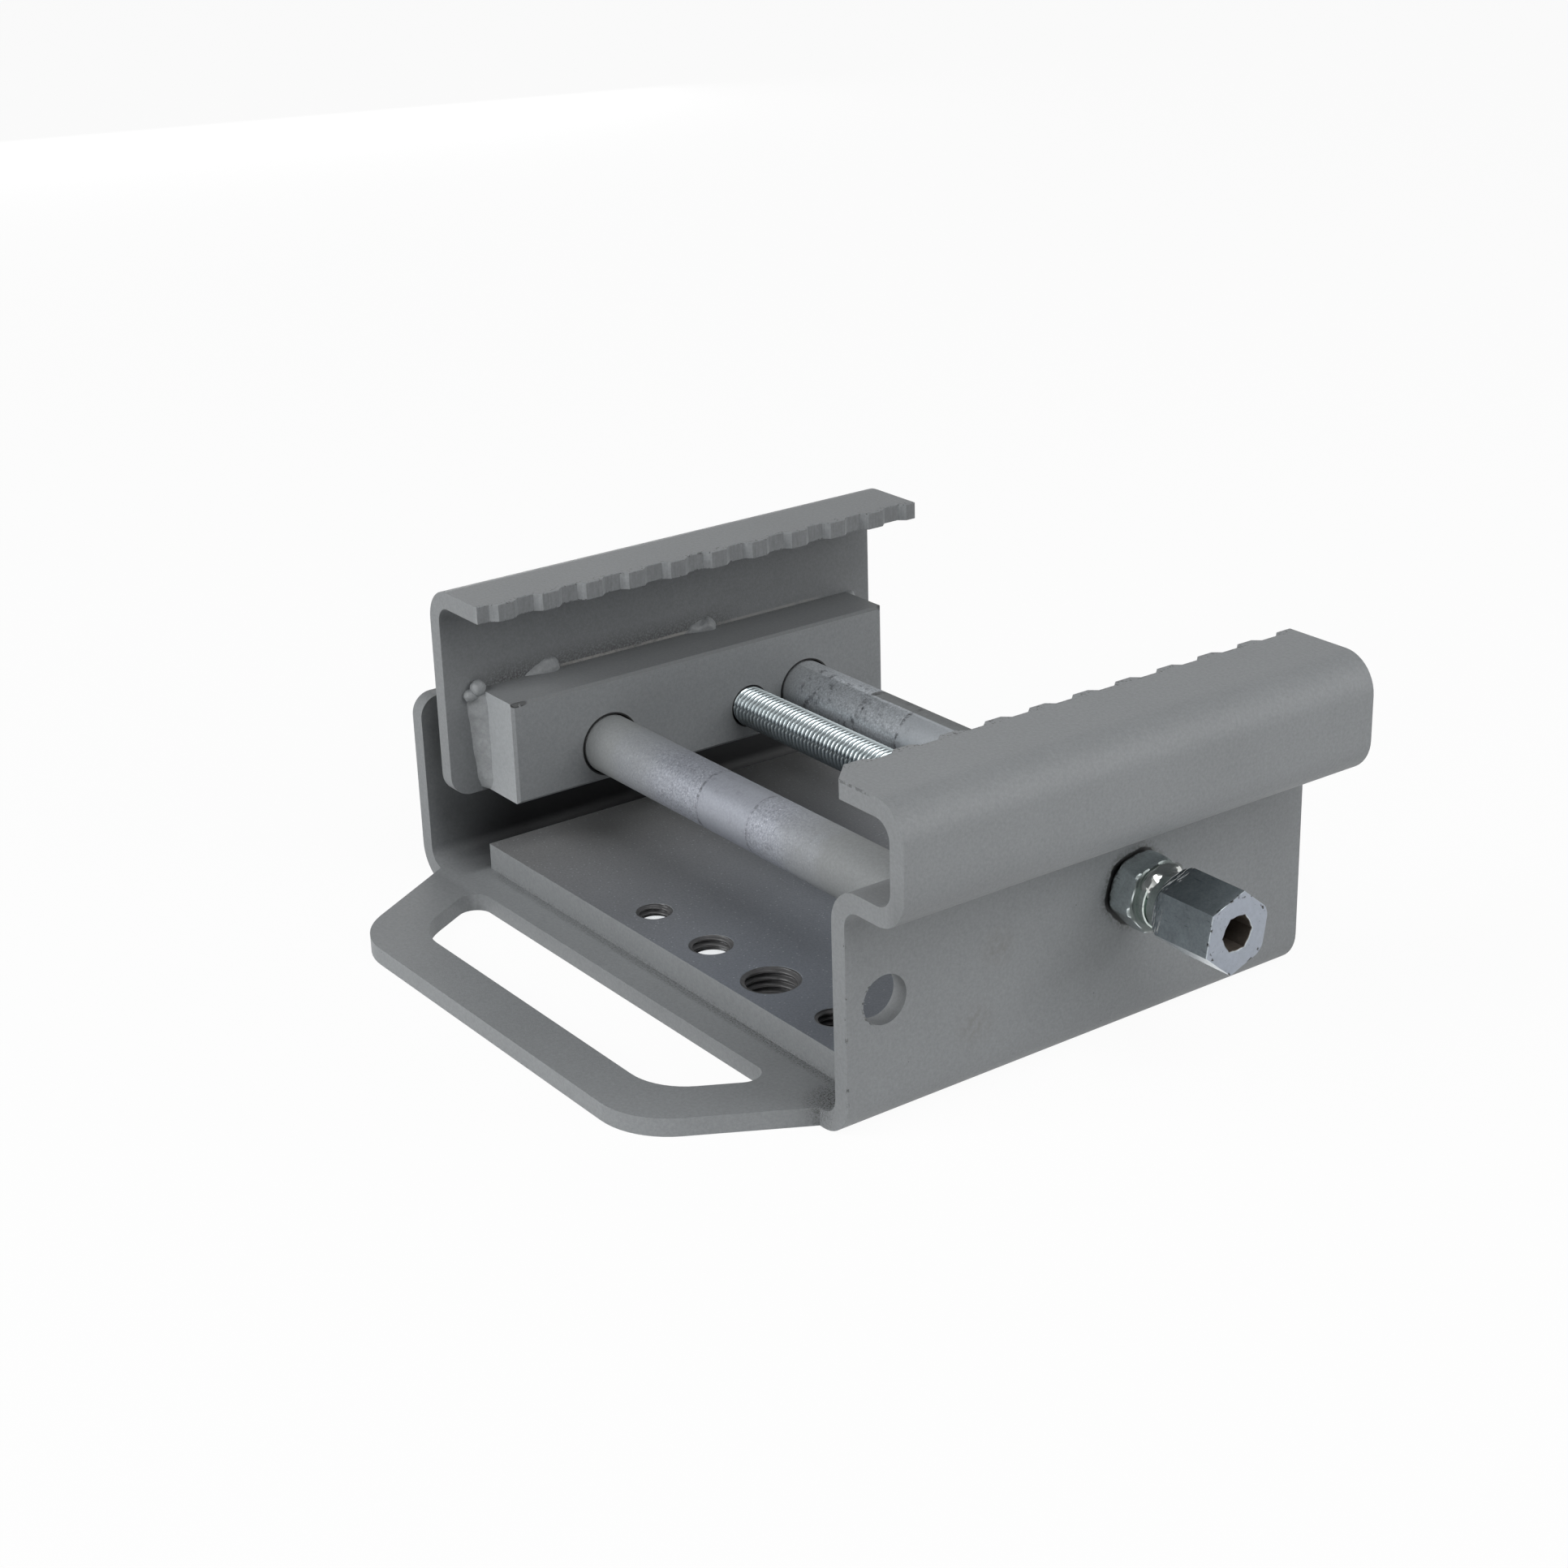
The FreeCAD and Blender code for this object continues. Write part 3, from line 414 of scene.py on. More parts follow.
def block_paint():
    s = Shader("block_paint")
    colour, height = painted(s)
    # chips at both ends of the upper edge, the front one long
    short_y = 0.3
    along = s.vector("MULTIPLY", s.mm, (1.0, short_y, 1.0))
    long_chip = s.fall(s.vector("DISTANCE", along, (-64.3, -61.9 * short_y, 60.8)), 0.8, 1.05)
    chips = s.all(s.any(long_chip, s.near((-64.3, 65.7, 60.8), 0.6, 1.4)), s.spots(0.9, 2.0, 0.30, 0.38))
    colour = s.over(colour, chips, 0.95, rgb(18, 18, 19))
    # painted shade in the gaps round the rods and the spindle: their bores and a thin ring round each go black
    for axis, radius in ((ROD_FRONT, 9.35), (ROD_REAR, 9.3), ((AXIS_Y, AXIS_Z), 6.4)):
        colour = s.mix(s.fall(s.from_line(*axis), radius, radius + 0.15), colour, BLACK)
    # painted light on the end faces, painted shade over the rounded upper edge's highlight; a darker top with
    # overspray along the jaw
    colour = s.tinted(colour, s.ramp(s.size(s.ny), 0.8, 0.95), 1.5)
    colour = s.over(colour, s.all(s.ramp(s.nx, 0.35, 0.55), s.ramp(s.nz, 0.35, 0.55)), 0.6, rgb(86, 88, 89))
    colour = s.over(colour, s.ramp(s.nz, 0.85, 0.95), 0.35, rgb(88, 89, 90))
    spray = s.all(s.ramp(s.nz, 0.7, 0.9), s.fall(s.x, BLOCK_BACK, BLOCK_BACK + 3.0), s.spots(1.9, 3.0, 0.4, 0.6))
    colour = s.over(colour, spray, 0.45, rgb(60, 60, 61))
    return s.finish(colour, MATTE, height, *PAINT_BUMP)


def plate_paint():
    """Thick plate: thin bluish coat on top, darker than the grey sides partly as painted shade, with bright specks
    painted as glints; a speckled lower edge.
    """
    s = Shader("plate_paint")
    side, height = painted(s, rgb(141, 144, 146))
    # the top's bluish coat, darker than the sides partly as painted shade
    top = s.mix(s.ramp(s.x, -70.0, 40.0), rgb(124, 125, 126), rgb(116, 121, 129))
    top = s.scaled(top, s.spots(0.03, 2.0, 0.2, 0.8, 0.93, 1.07))
    top = s.scaled(top, s.spots(1.6, 4.0, 0.3, 0.7, 0.82, 1.16, rough=0.7))
    # painted glints: bright specks on the top
    top = s.over(top, s.specks(0.9, 0.26, 0.22), 0.4, rgb(190, 194, 204))
    up = s.ramp(s.nz, 0.5, 0.8)
    colour = s.mix(up, side, top)
    seam = s.all(s.fall(s.z, SHEET + 0.6, SHEET + 1.6), s.spots(2.4, 2.0, 0.5, 0.6), s.ramp(s.ny, -0.5, -0.8))
    colour = s.over(colour, seam, 0.4, rgb(70, 71, 70))
    return s.finish(colour, s.ramp(up, 0.0, 1.0, MATTE, 0.46), height, *PAINT_BUMP)


def weld_paint():
    s = Shader("weld_paint")
    colour, height = painted(s, rgb(137, 140, 142))
    colour = s.scaled(colour, s.spots(0.55, 3.0, 0.3, 0.7, 0.88, 1.06))
    # painted light: faces turned along Y lighter
    colour = s.scaled(colour, s.ramp(s.size(s.ny), 0.3, 0.95, 1.0, 1.28))
    return s.finish(colour, 0.5, height, 0.5, 0.2)


def thread_paint():
    """Bare cut thread of the plate's holes."""
    s = Shader("thread_paint")
    level = s.spots(1.2, 3.0, 0.25, 0.75, 0.8, 1.15, stretch=(0.5, 0.5, 2.0))
    return s.finish(s.scaled(rgb(86, 86, 87), level), 0.42, s.noise(3.0), 0.25, 0.1, 0.3)


def bore_metal():
    """Bright reamed wall under the two smaller threads."""
    s = Shader("bore_metal")
    colour = s.scaled(rgb(248, 249, 250), s.spots(0.6, 2.0, 0.3, 0.7, 0.94, 1.0))
    return s.finish(colour, 0.08, s.noise(0.8), 0.05, 0.05, 1.0)


def rod_metal(name, metal, bare_from, bare_to, rings, calm_run, stains, strip=None):
    """Drawn rod: painted towards its ends, with metal whose sparkle is painted in as bright specks, ring marks and
    stains between.

    bare_from and bare_to say where the paint ends and begins again along X, calm_run where the metal is
    smooth. rings are (X, half width, depth), stains (from, to, depth), and strip is the height, across the
    rod, from which its far side is painted."""
    s = Shader(name)
    coat, height = painted(s, rgb(136, 139, 140))
    place = s.sum(s.x, s.all(s.math("SUBTRACT", s.noise(0.10, 3.0), 0.5), 26.0))
    bare = s.all(s.ramp(place, *bare_from), s.fall(place, *bare_to))
    calm = s.band(s.x, *calm_run, 0.4)
    fizz = s.spots(1.4, 4.0, 0.32, 0.68, 0.62, 1.36, rough=0.75)
    metal = s.scaled(metal, s.mix(s.all(calm, 0.75), fizz, (1.0, 1.0, 1.0, 1.0)))
    # painted glints: bright specks on the bare metal, fewer on its calm run
    sparks = s.all(s.specks(1.3, 0.3, 0.25), s.ramp(calm, 0.0, 1.0, 0.55, 0.1))
    colour = s.mix(bare, coat, s.mix(sparks, metal, rgb(222, 225, 233)))
    chalky = 0.0
    if strip is not None:
        across = s.vector("DOT_PRODUCT", s.mm, FAR_SIDE)
        # the far side's paint strip, its coat darkened as painted shade
        painted_strip = s.all(s.ramp(across, strip, strip + 0.25), s.ramp(s.x, -30.5, -29.5))
        colour = s.mix(painted_strip, colour, s.scaled(coat, 0.74))
        chalky = s.ramp(across, strip - 0.6, strip, 0.0, 0.95)
        bare = s.all(bare, s.math("SUBTRACT", 1.0, chalky))
    for x, half, depth in rings:
        wavy = s.sum(s.x, s.all(s.noise(0.35), 1.1))
        mark = s.all(s.band(wavy, x + 0.55 - half, x + 0.55 + half, 0.35), s.spots(0.55, 4.0, 0.42, 0.62, rough=0.7))
        colour = s.over(colour, mark, depth, rgb(48, 46, 48))
    for low, high, depth in stains:
        smudge = s.all(s.band(s.x, low, high, 5.0), s.spots(0.33, 4.0, 0.55, 0.68, rough=0.65))
        colour = s.over(colour, smudge, depth, rgb(52, 50, 54))
    rough = s.any(s.ramp(bare, 0.0, 1.0, 0.55, 0.42), chalky)
    return s.finish(colour, rough, height, 0.25, 0.1, s.all(bare, 0.45))


def zinc_thread():
    """Zinc on the spindle's thread, with painted shade: dark in its depth and on its underside."""
    s = Shader("zinc_thread")
    colour = s.scaled(rgb(184, 194, 197), s.spots(0.12, 3.0, 0.3, 0.7, 0.86, 1.04))
    # painted shade: dark in the thread's depth, darker on the underside with greenish dark patches
    colour = s.over(colour, s.fall(s.from_line(AXIS_Y, AXIS_Z), 4.95, 5.75), 0.9, rgb(36, 44, 50))
    colour = s.scaled(colour, s.ramp(s.nz, -0.5, 0.3, 0.74, 1.0))
    underside_shade = s.all(s.spots(0.7, 3.0, 0.58, 0.68), s.ramp(s.nz, 0.3, -0.3))
    colour = s.over(colour, underside_shade, 0.4, rgb(92, 96, 84))
    return s.finish(colour, 0.19, s.noise(0.5), 0.02, 0.04, 1.0)


def zinc_head(name, colour, rough, sawn_end_and_top_shade=False):
    """Smooth greenish zinc with a few scratches; the drive hexagon also has a duller sawn end and upper flats
    darkened as painted shade.
    """
    s = Shader(name)
    low, high = HEX_RUN
    grain = s.spots(1.4, 4.0, 0.3, 0.7, 0.86, 1.14, rough=0.65)
    colour = s.scaled(s.scaled(colour, s.spots(0.18, 3.0, 0.3, 0.7, 0.88, 1.1)), grain)
    if sawn_end_and_top_shade:
        # painted shade: the upper flats darker
        colour = s.scaled(colour, s.ramp(s.nz, 0.3, 0.7, 1.0, 0.80))
    streaks = s.spots(1.0, 4.0, 0.42, 0.62, 0.55, 1.12, stretch=(2.6, 0.3, 0.3), rough=0.65)
    colour = s.mix(s.band(s.x, low + 0.1, low + 2.5, 1.8), colour, s.scaled(colour, streaks))
    end = s.ramp(s.nx, 0.93, 0.97, 0.0, 1.0 if sawn_end_and_top_shade else 0.0)
    colour = s.mix(end, colour, s.scaled(rgb(160, 167, 178), s.spots(0.8, 4.0, 0.25, 0.75, 0.92, 1.06)))
    scratches = s.spots(0.6, 2.0, 0.68, 0.72, stretch=(0.25, 2.4, 2.4))
    colour = s.over(colour, scratches, 0.4, rgb(60, 62, 60))
    # dark, slightly brown inside of the hexagon socket, and chips along the end's rim
    radius = s.from_line(AXIS_Y, AXIS_Z)
    inside = s.all(s.fall(radius, 5.0, 5.2), s.fall(s.x, high - 0.25, high - 0.1))
    colour = s.mix(inside, colour, s.scaled(rgb(98, 91, 84), grain))
    rim = s.all(s.ramp(s.x, high - 0.7, high - 0.4), s.ramp(radius, 9.0, 9.3), s.spots(0.45, 3.0, 0.57, 0.62))
    colour = s.mix(rim, colour, rgb(36, 33, 28))
    # scrapes over the shoulder, partly wear and partly painted highlight, and painted shade on the nut's face towards
    # the neck
    scrapes = s.spots(0.9, 2.0, 0.50, 0.55, stretch=(1.9, 0.34, 0.34), rough=0.6)
    scraped = s.all(s.band(s.x, low + 0.2, low + 3.5, 0.6), scrapes, s.spots(0.2, 2.0, 0.30, 0.44))
    colour = s.mix(scraped, colour, rgb(226, 229, 230))
    nut_face_shade = s.all(s.ramp(s.nx, 0.5, 0.8), s.band(s.x, NECK[0] - 1.5, NECK[0] + 0.5, 0.3))
    colour = s.mix(nut_face_shade, colour, rgb(100, 108, 106))
    dull = s.any(s.all(end, 0.85), s.all(s.any(inside, nut_face_shade), 0.5), s.all(scraped, 0.5))
    return s.finish(colour, s.sum(rough, s.all(s.any(end, inside), 0.25)), s.noise(2.4, 3.0), 0.18, 0.08,
                    s.math("SUBTRACT", 1.0, dull))


def bare_weld():
    s = Shader("bare_weld")
    colour = s.scaled(rgb(212, 215, 212), s.spots(0.4, 2.0, 0.35, 0.65, 0.85, 1.0))
    colour = s.over(colour, s.spots(0.5, 3.0, 0.64, 0.70), 0.6, rgb(76, 70, 50))
    return s.finish(colour, 0.07, s.noise(0.4, 1.0), 0.06, 0.2, 1.0)


FRAME = frame_paint()
WELD = weld_paint()
THREAD = thread_paint()
BORE = bore_metal()
NUT = zinc_head("zinc_nut", rgb(205, 214, 215), 0.2)
HEAD = zinc_head("zinc_drive", rgb(185, 194, 199), 0.27, sawn_end_and_top_shade=True)
COLLAR = zinc_head("zinc_collar", rgb(196, 206, 202), 0.22)


# ---------- CAD nodes: broken edges and materials

def dress(node, material, edge=0.0):
    """Gives a node its material and, with modifiers alone, slightly rounded edges."""
    obj = NODES[node]
    for slot in obj.material_slots:
        slot.material = material
    if edge:
        weld = obj.modifiers.new("join", "WELD")
        weld.merge_threshold = 1e-6
        flat = obj.modifiers.new("flat faces", "DECIMATE")
        flat.decimate_type = "DISSOLVE"
        flat.angle_limit = math.radians(0.4)
        bevel = obj.modifiers.new("edges", "BEVEL")
        bevel.width = edge * MM
        bevel.segments = 2
        bevel.limit_method = "ANGLE"
        bevel.angle_limit = math.radians(35)
        bevel.use_clamp_overlap = True
        obj.modifiers.new("shading", "WEIGHTED_NORMAL")


dress("frame_sheet", FRAME, 0.22)
dress("jaw_sheet", jaw_paint(), 0.22)
dress("jaw_block", block_paint(), 0.13)
dress("threaded_plate", plate_paint(), 0.2)
dress("guide_rod_front", rod_metal(
    "rod_front_metal", rgb(158, 162, 171), (-56.0, -20.0), (20.0, 46.0), [(-8.8, 0.35, 0.7), (14.2, 0.3, 0.55)],
    (-8.4, 13.6), [(-12.0, 14.0, 0.15)]))
dress("guide_rod_rear", rod_metal(
    "rod_rear_metal", rgb(168, 173, 178), (-74.0, -50.0), (80.0, 96.0), [(-28.8, 1.0, 0.55), (-10.4, 0.45, 0.8)],
    (-9.8, 60.0), [(-58.0, -28.0, 0.75), (-26.0, -8.0, 0.3)],
    ROD_REAR[0] * FAR_SIDE[1] + ROD_REAR[1] * FAR_SIDE[2] + 5.9))
for node in ("plug_weld_flange_front", "plug_weld_flange_rear", "plug_weld_wall_front", "plug_weld_wall_rear"):
    dress(node, FRAME)
dress("retaining_nut", NUT, 0.2)


# ---------- spindle with its thread

# One pitch of the thread: share of the pitch, share of the depth below the crest.
THREAD_PROFILE = [(0.0, 0.0), (0.10, 0.03), (0.27, 0.5), (0.44, 0.97), (0.56, 1.0), (0.73, 0.5), (0.90, 0.03)]


def make_spindle():
    pitch, radius, start = SPINDLE["pitch"], SPINDLE["radius"], SPINDLE["start"]
    turn = 36
    steps = int((SPINDLE["thread_end"] - start) / pitch * turn) - turn
    count = len(THREAD_PROFILE)
    verts, faces = [], []
    for i in range(steps + 1):
        angle = 2 * math.pi * i / turn
        fade = min(1.0, i / (turn * 1.5), (steps - i) / (turn * 1.5))
        for share, sunk in THREAD_PROFILE:
            x = start + 0.6 + pitch * (i / turn + share)
            depth = SPINDLE["depth"] * (1.0 - (1.0 - sunk) * fade)
            wear = 0.015 * noise.noise(Vector((x * 0.25, math.cos(angle), math.sin(angle))))
            verts.append(on_axis(x, radius - depth + wear * (1.0 - sunk), -angle))
    for i in range(steps):
        a, d = i * count, (i + 1) * count
        faces += [(a + j, a + j + 1, d + j + 1, d + j) for j in range(count - 1)]
        # the profile's last point meets the first one of the next turn
        if i + turn + 1 <= steps:
            b, c = (i + turn) * count, (i + turn + 1) * count
            faces.append((a + count - 1, b, c, d + count - 1))
    # plain core with turned ends: it closes the thread's runouts and carries the bare neck
    core = radius - SPINDLE["depth"] + 0.03
    end = SPINDLE["end"]
    bare = SPINDLE["thread_end"] - 1.0
    sides = 48
    rings = []
    for x, r in [(start, 0.0), (start, core - 1.0), (start + 0.9, core), (bare - 1.0, core), (bare, radius),
                 (end, radius), (end, 0.0)]:
        size = sides if r else 1
        rings.append(range(len(verts), len(verts) + size))
        verts += [on_axis(x, r, 2 * math.pi * k / sides) for k in range(size)]
    for a, b in zip(rings, rings[1:]):
        for k in range(sides):
            n = (k + 1) % sides
            if len(a) == 1:
                faces.append((a[0], b[n], b[k]))
            elif len(b) == 1:
                faces.append((a[k], a[n], b[0]))
            else:
                faces.append((a[k], a[n], b[n], b[k]))
    add_mesh("spindle_thread", verts, faces, zinc_thread(), "screw", 55, ("spindle",))


# ---------- threads of the plate's holes

HOLE_SIDES = 72
SLEEVE = 0.06                   # how far the sleeves reach into the CAD's bores


def hole_point(x, radius, k, z):
    angle = 2 * math.pi * k / HOLE_SIDES
    return (x + radius * math.cos(angle), HOLE_Y + radius * math.sin(angle), z)


def add_sleeve(name, x, rows, material, sharp):
    """Closed sleeve in a hole, from rings of (radius, height) points; a single point stands for a whole ring."""
    rings = []
    for row in rows:
        row = row * HOLE_SIDES if len(row) == 1 else row
        rings.append([hole_point(x, r, k, z) for k, (r, z) in enumerate(row)])
    add_mesh(name, points(rings), skin(rings, flip=True, loop=True), material, "frame", sharp)


def make_hole_thread(word, x, size, pitch, low):
    radius = size / 2
    depth = 0.5413 * pitch
    high = PLATE_TOP - 0.12
    levels = int((high - low) / 0.14)
    rows = []
    for i in range(levels + 1):
        z = low + (high - low) * i / levels
        ends = max(0.0, min(1.0, (z - low) / 0.5, (high - z) / 0.35))
        row = []
        for k in range(HOLE_SIDES):
            phase = (z / pitch - k / HOLE_SIDES) % 1.0
            ridge = min(1.0, 1.25 * max(0.0, 1.0 - abs(phase - 0.5) / 0.44))
            row.append((radius - FIT - depth * ridge * ends, z))
        rows.append(row)
    rows += [[(radius + SLEEVE, high)], [(radius + SLEEVE, low)]]
    add_sleeve("hole_thread_" + word, x, rows, THREAD, 50)


def make_bore(word, x, size, pitch, low, high):
    """Smooth bright wall below the thread, with a small chamfer at its lower end."""
    inner, outer = size / 2 - 0.5 * pitch, size / 2 + SLEEVE
    rows = [(inner + 0.25, low), (inner, low + 0.25), (inner, high), (outer, high), (outer, low)]
    add_sleeve("hole_bore_" + word, x, [[place] for place in rows], BORE, 40)


def make_holes():
    short_threads = {"left": 3.4, "middle": 4.0}
    bottom = SHEET + 0.05
    for word, x, size, pitch in HOLES:
        thread_low = bottom
        if word in short_threads:
            thread_low = PLATE_TOP - short_threads[word]
            make_bore(word, x, size, pitch, bottom, thread_low)
        make_hole_thread(word, x, size, pitch, thread_low)


# ---------- drive head

def make_drive():
    """Long hexagon with a turned shoulder towards the neck, a worn sawn end and a broached socket in it."""
    low, high = HEX_RUN
    angles = [5.0 * k for k in range(72)]
    rows = []
    shoulder, shoulder_steps = 4.0, 14
    for i in range(shoulder_steps + 1):
        t = i / shoulder_steps
        x = low + shoulder * t
        limit = 7.7 + 3.35 * math.sqrt(max(0.0, 1.0 - (1.0 - t) ** 2))
        rows.append([(x, min(hexagon_radius(HEX_FLATS, a, HEX_CORNER) - FIT,
                             limit + 0.16 * lumps_round(x * 1.2, 4.5, a, 0.8, 4.0)), a) for a in angles])
    for x, cut in ((124.0, 0.0), (130.0, 0.0), (high - 1.6, 0.0), (high - 0.4, 0.0), (high - 0.12, 0.02),
                   (high - 0.03, 0.06), (high, 0.14)):
        row = []
        for a in angles:
            chip = max(0.0, lumps_round(x, 6.0, a, 0.55, 8.0) - 0.18)
            r = hexagon_radius(HEX_FLATS, a, HEX_CORNER) - FIT
            # the far corners are worn round at the end
            if x > high - 1.0 and (a < 50.0 or a > 290.0):
                r = min(r, 10.25)
            row.append((x, r - cut * (1.0 + 3.0 * chip), a))
        rows.append(row)
    for x, grow in ((high, 0.30), (high - 0.3, 0.0), (high - 6.0, 0.0), (high - 11.8, 0.0)):
        rows.append([(x, max(hexagon_radius(SOCKET_FLATS, a, 0.0), 4.45) + grow, a) for a in angles])
    rings = [[on_axis(x, r, math.radians(a)) for x, r, a in row] for row in rows]
    verts, faces = points(rings), skin(rings, flip=True)
    # both ends run to a point on the axis: the shoulder's face and the socket's drilled bottom
    size, last = len(angles), len(verts) - len(angles)
    verts += [(low, AXIS_Y, AXIS_Z), (high - 13.2, AXIS_Y, AXIS_Z)]
    for k in range(size):
        n = (k + 1) % size
        faces.append((len(verts) - 2, n, k))
        faces.append((len(verts) - 1, last + k, last + n))
    add_mesh("drive_head", verts, faces, HEAD, "screw", 22, ("drive_hexagon",))


def make_collars():
    """Turned collars of the head nut and of the hexagon, with the gap between them."""
    low, high = NECK
    outline = [(low - 0.2, 6.2), (low - 0.2, 7.75), (low + 2.3, 7.75), (low + 2.6, 7.45), (low + 2.6, 6.5),
               (low + 3.1, 6.5), (low + 3.1, 7.2), (low + 3.4, 7.5), (high + 0.3, 7.5), (high + 0.3, 6.2)]
    rings = [[on_axis(x, r + 0.06 * lumps_round(x * 0.3, 7.0, a, 0.5, 6.0), math.radians(a))
              for a in range(0, 360, 5)] for x, r in outline]
    add_mesh("neck_collars", points(rings), skin(rings, flip=True, loop=True), COLLAR, "screw", 40)


def make_head_nut():
    """Hexagon nut with rounded corners, its outer side running into a narrow face."""
    angles = [5.0 * k + 2.0 for k in range(72)]
    back, face = NUT_RUN
    rings = []
    for x, limit in ((back, 8.9), (102.7, 9.3), (103.3, 9.8), (104.3, 10.15), (106.0, 10.25), (108.6, 10.2),
                     (109.5, 9.9), (110.1, 9.4), (110.42, 8.8), (face, 8.2)):
        row = []
        for a in angles:
            worn = limit + 0.15 * lumps_round(x * 0.6, 6.0, a - 2.0, 0.7, 12.0)
            row.append(on_axis(x, min(hexagon_radius(NUT_FLATS, a, NUT_CORNER) - 0.03, worn), math.radians(a)))
        rings.append(row)
    for x in (face, back):
        rings.append([on_axis(x, 6.1, math.radians(a)) for a in angles])
    add_mesh("head_nut_rounded", points(rings), skin(rings, flip=True, loop=True), NUT, "screw", 24,
             ("head_nut",))


# ---------- weld beads

def make_neck_weld():
    """Bright puddle over the top of the neck, open at the lower left where the collars show."""
    low, high = NECK
    first, last = math.radians(-40), math.radians(166)
    around, along = 72, 26
    waist = 0.70                # where along the neck the bead is lowest
    rows = []
    for i in range(around + 1):
        t = i / around
        angle = first + (last - first) * t
        taper = math.sin(math.pi * t) ** 0.45
        outer, inner = [], []
        for j in range(along + 1):
            u = j / along
            x = low - 0.6 + (high - low + 1.15) * u
            bead = 2.3 + 1.15 * math.cos(math.pi * min(1.0, u / waist) - 0.5)
            if u > waist:
                bead = 1.29 + 0.9 * (u - waist) / (1.0 - waist)
            spot = (x, 6 * math.cos(angle), 6 * math.sin(angle))
            height = taper * (bead + 0.9 * lumps(spot, 0.36, 3.0) + 0.2 * lumps(spot, 0.9, 7.0))
            height *= 0.82 + 0.18 * min(1.0, u * 7.0, (1.0 - u) * 9.0)
            outer.append(on_axis(x, 5.9 + max(0.1, height), angle))
            inner.append(on_axis(x, 5.7, angle))
        rows.append(outer + inner[::-1])
    add_mesh("neck_weld_bead", points(rows), skin(rows, flip=True) + caps(rows), bare_weld(), "screw",
             60, ("neck_weld",))


def add_jaw_weld(name, verts, faces, sharp, node):
    add_mesh(name, verts, faces, WELD, "jaw", sharp, (node,))


def make_block_weld(word, end, side):
    """Soft lumpy fillet between the block's end face and the jaw sheet."""
    up, arc = 60, 14
    rows = []
    for i in range(up + 1):
        t = i / up
        z = BLOCK_BOTTOM + (BLOCK_TOP - BLOCK_BOTTOM) * t
        close = min(1.0, t * 9.0, (1.0 - t) * 7.0) ** 0.5
        reach = 0.5 + 0.5 * close
        wander = 0.30 * lumps((z, 1.0, end), 0.22, 9.0)
        row = []
        for j in range(arc + 1):
            u = j / arc
            swell = 0.22 * math.sin(math.pi * u) * (1.0 + 2.0 * lumps((z, u * 2.0, end), 0.30, 2.0))
            swell += 0.14 * lumps((z, u * 4.0, end), 0.9, 5.0) * math.sin(math.pi * u)
            dx = (4.4 + wander) * reach * (1.0 - u) ** 1.25 + swell * 0.5
            dy = (2.0 + 2.6 * t + wander) * reach * u ** 0.95 + swell * 0.5
            row.append((BLOCK_BACK + max(dx, 0.0), end + side * max(dy, 0.0), z))
        # the bead's root, sunk into the sheet and the block
        row.append((BLOCK_BACK - 0.15, end + side * 1.0, z))
        row.append((BLOCK_BACK - 0.15, end - side * 0.15, z))
        row.append((BLOCK_BACK + 1.0, end - side * 0.15, z))
        rows.append(row)
    add_jaw_weld("block_weld_bead_" + word, points(rows), solid(rows, flip=side > 0), 65, "block_weld_" + word)


def make_tack(word, y, size):
    """Blob in the corner over the block, steep to the rear and running out in a long tail to the front."""
    around, rise = 44, 14
    rows = []
    for j in range(rise + 1):
        v = j / rise
        row = []
        for i in range(around):
            angle = 2 * math.pi * i / around
            reach = size * math.cos(0.5 * math.pi * v * 0.999)
            tail = max(0.0, -math.sin(angle))
            dx = reach * math.cos(angle) * (1.0 - 0.35 * tail)
            dy = reach * math.sin(angle) * (1.0 + 1.5 * tail)
            top = size * 1.22 * math.sin(0.5 * math.pi * v) ** 0.9 * (1.0 - 0.7 * tail * (1.0 - v))
            lump = 1.0 + 0.12 * lumps((dx, dy, top), 0.45, y)
            x = BLOCK_BACK - 0.3 + max(dx, -0.5) * 0.86 * lump
            row.append((x, y + dy * lump, BLOCK_TOP - 0.2 + top * lump))
        rows.append(row)
    add_jaw_weld("tack_bead_" + word, points(rows), solid(rows), 70, "tack_weld_" + word)


def make_corner_tack():
    """Round drop on the block's front corner with a smaller lobe beside it, over the end weld."""
    verts, faces = [], []
    around, rise = 32, 18
    for centre, size, stretch in (((-80.5, -65.1, 61.8), 2.3, 1.0), ((-81.3, -67.2, 59.8), 1.9, 1.1)):
        rows = []
        for j in range(1, rise):
            polar = math.pi * j / rise
            row = []
            for i in range(around):
                angle = 2 * math.pi * i / around
                way = Vector((math.sin(polar) * math.cos(angle), math.sin(polar) * math.sin(angle) * stretch,
                              math.cos(polar)))
                row.append(Vector(centre) + way * size * (1.0 + 0.09 * lumps(way * 2.0, 1.0, size)))
            rows.append(row)
        faces += solid(rows, flip=True, start=len(verts))
        verts += points(rows)
    add_jaw_weld("tack_bead_corner", verts, faces, 70, "tack_weld_corner")


make_spindle()
make_holes()
make_drive()
make_collars()
make_head_nut()
make_neck_weld()
make_block_weld("front", BLOCK_ENDS[0], -1)
make_block_weld("rear", BLOCK_ENDS[1], 1)
make_corner_tack()
make_tack("front", -40.6, 3.3)
make_tack("rear", 14.0, 3.3)


# ---------- floor, light and camera

def add_node(tree, kind, inputs=(), **settings):
    """Adds a node; inputs are (socket, value or another node's output)."""
    node = tree.nodes.new("ShaderNode" + kind)
    for name, value in settings.items():
        setattr(node, name, value)
    for name, value in inputs:
        if isinstance(value, bpy.types.NodeSocket):
            tree.links.new(value, node.inputs[name])
        else:
            node.inputs[name].default_value = value
    return node.outputs[0]


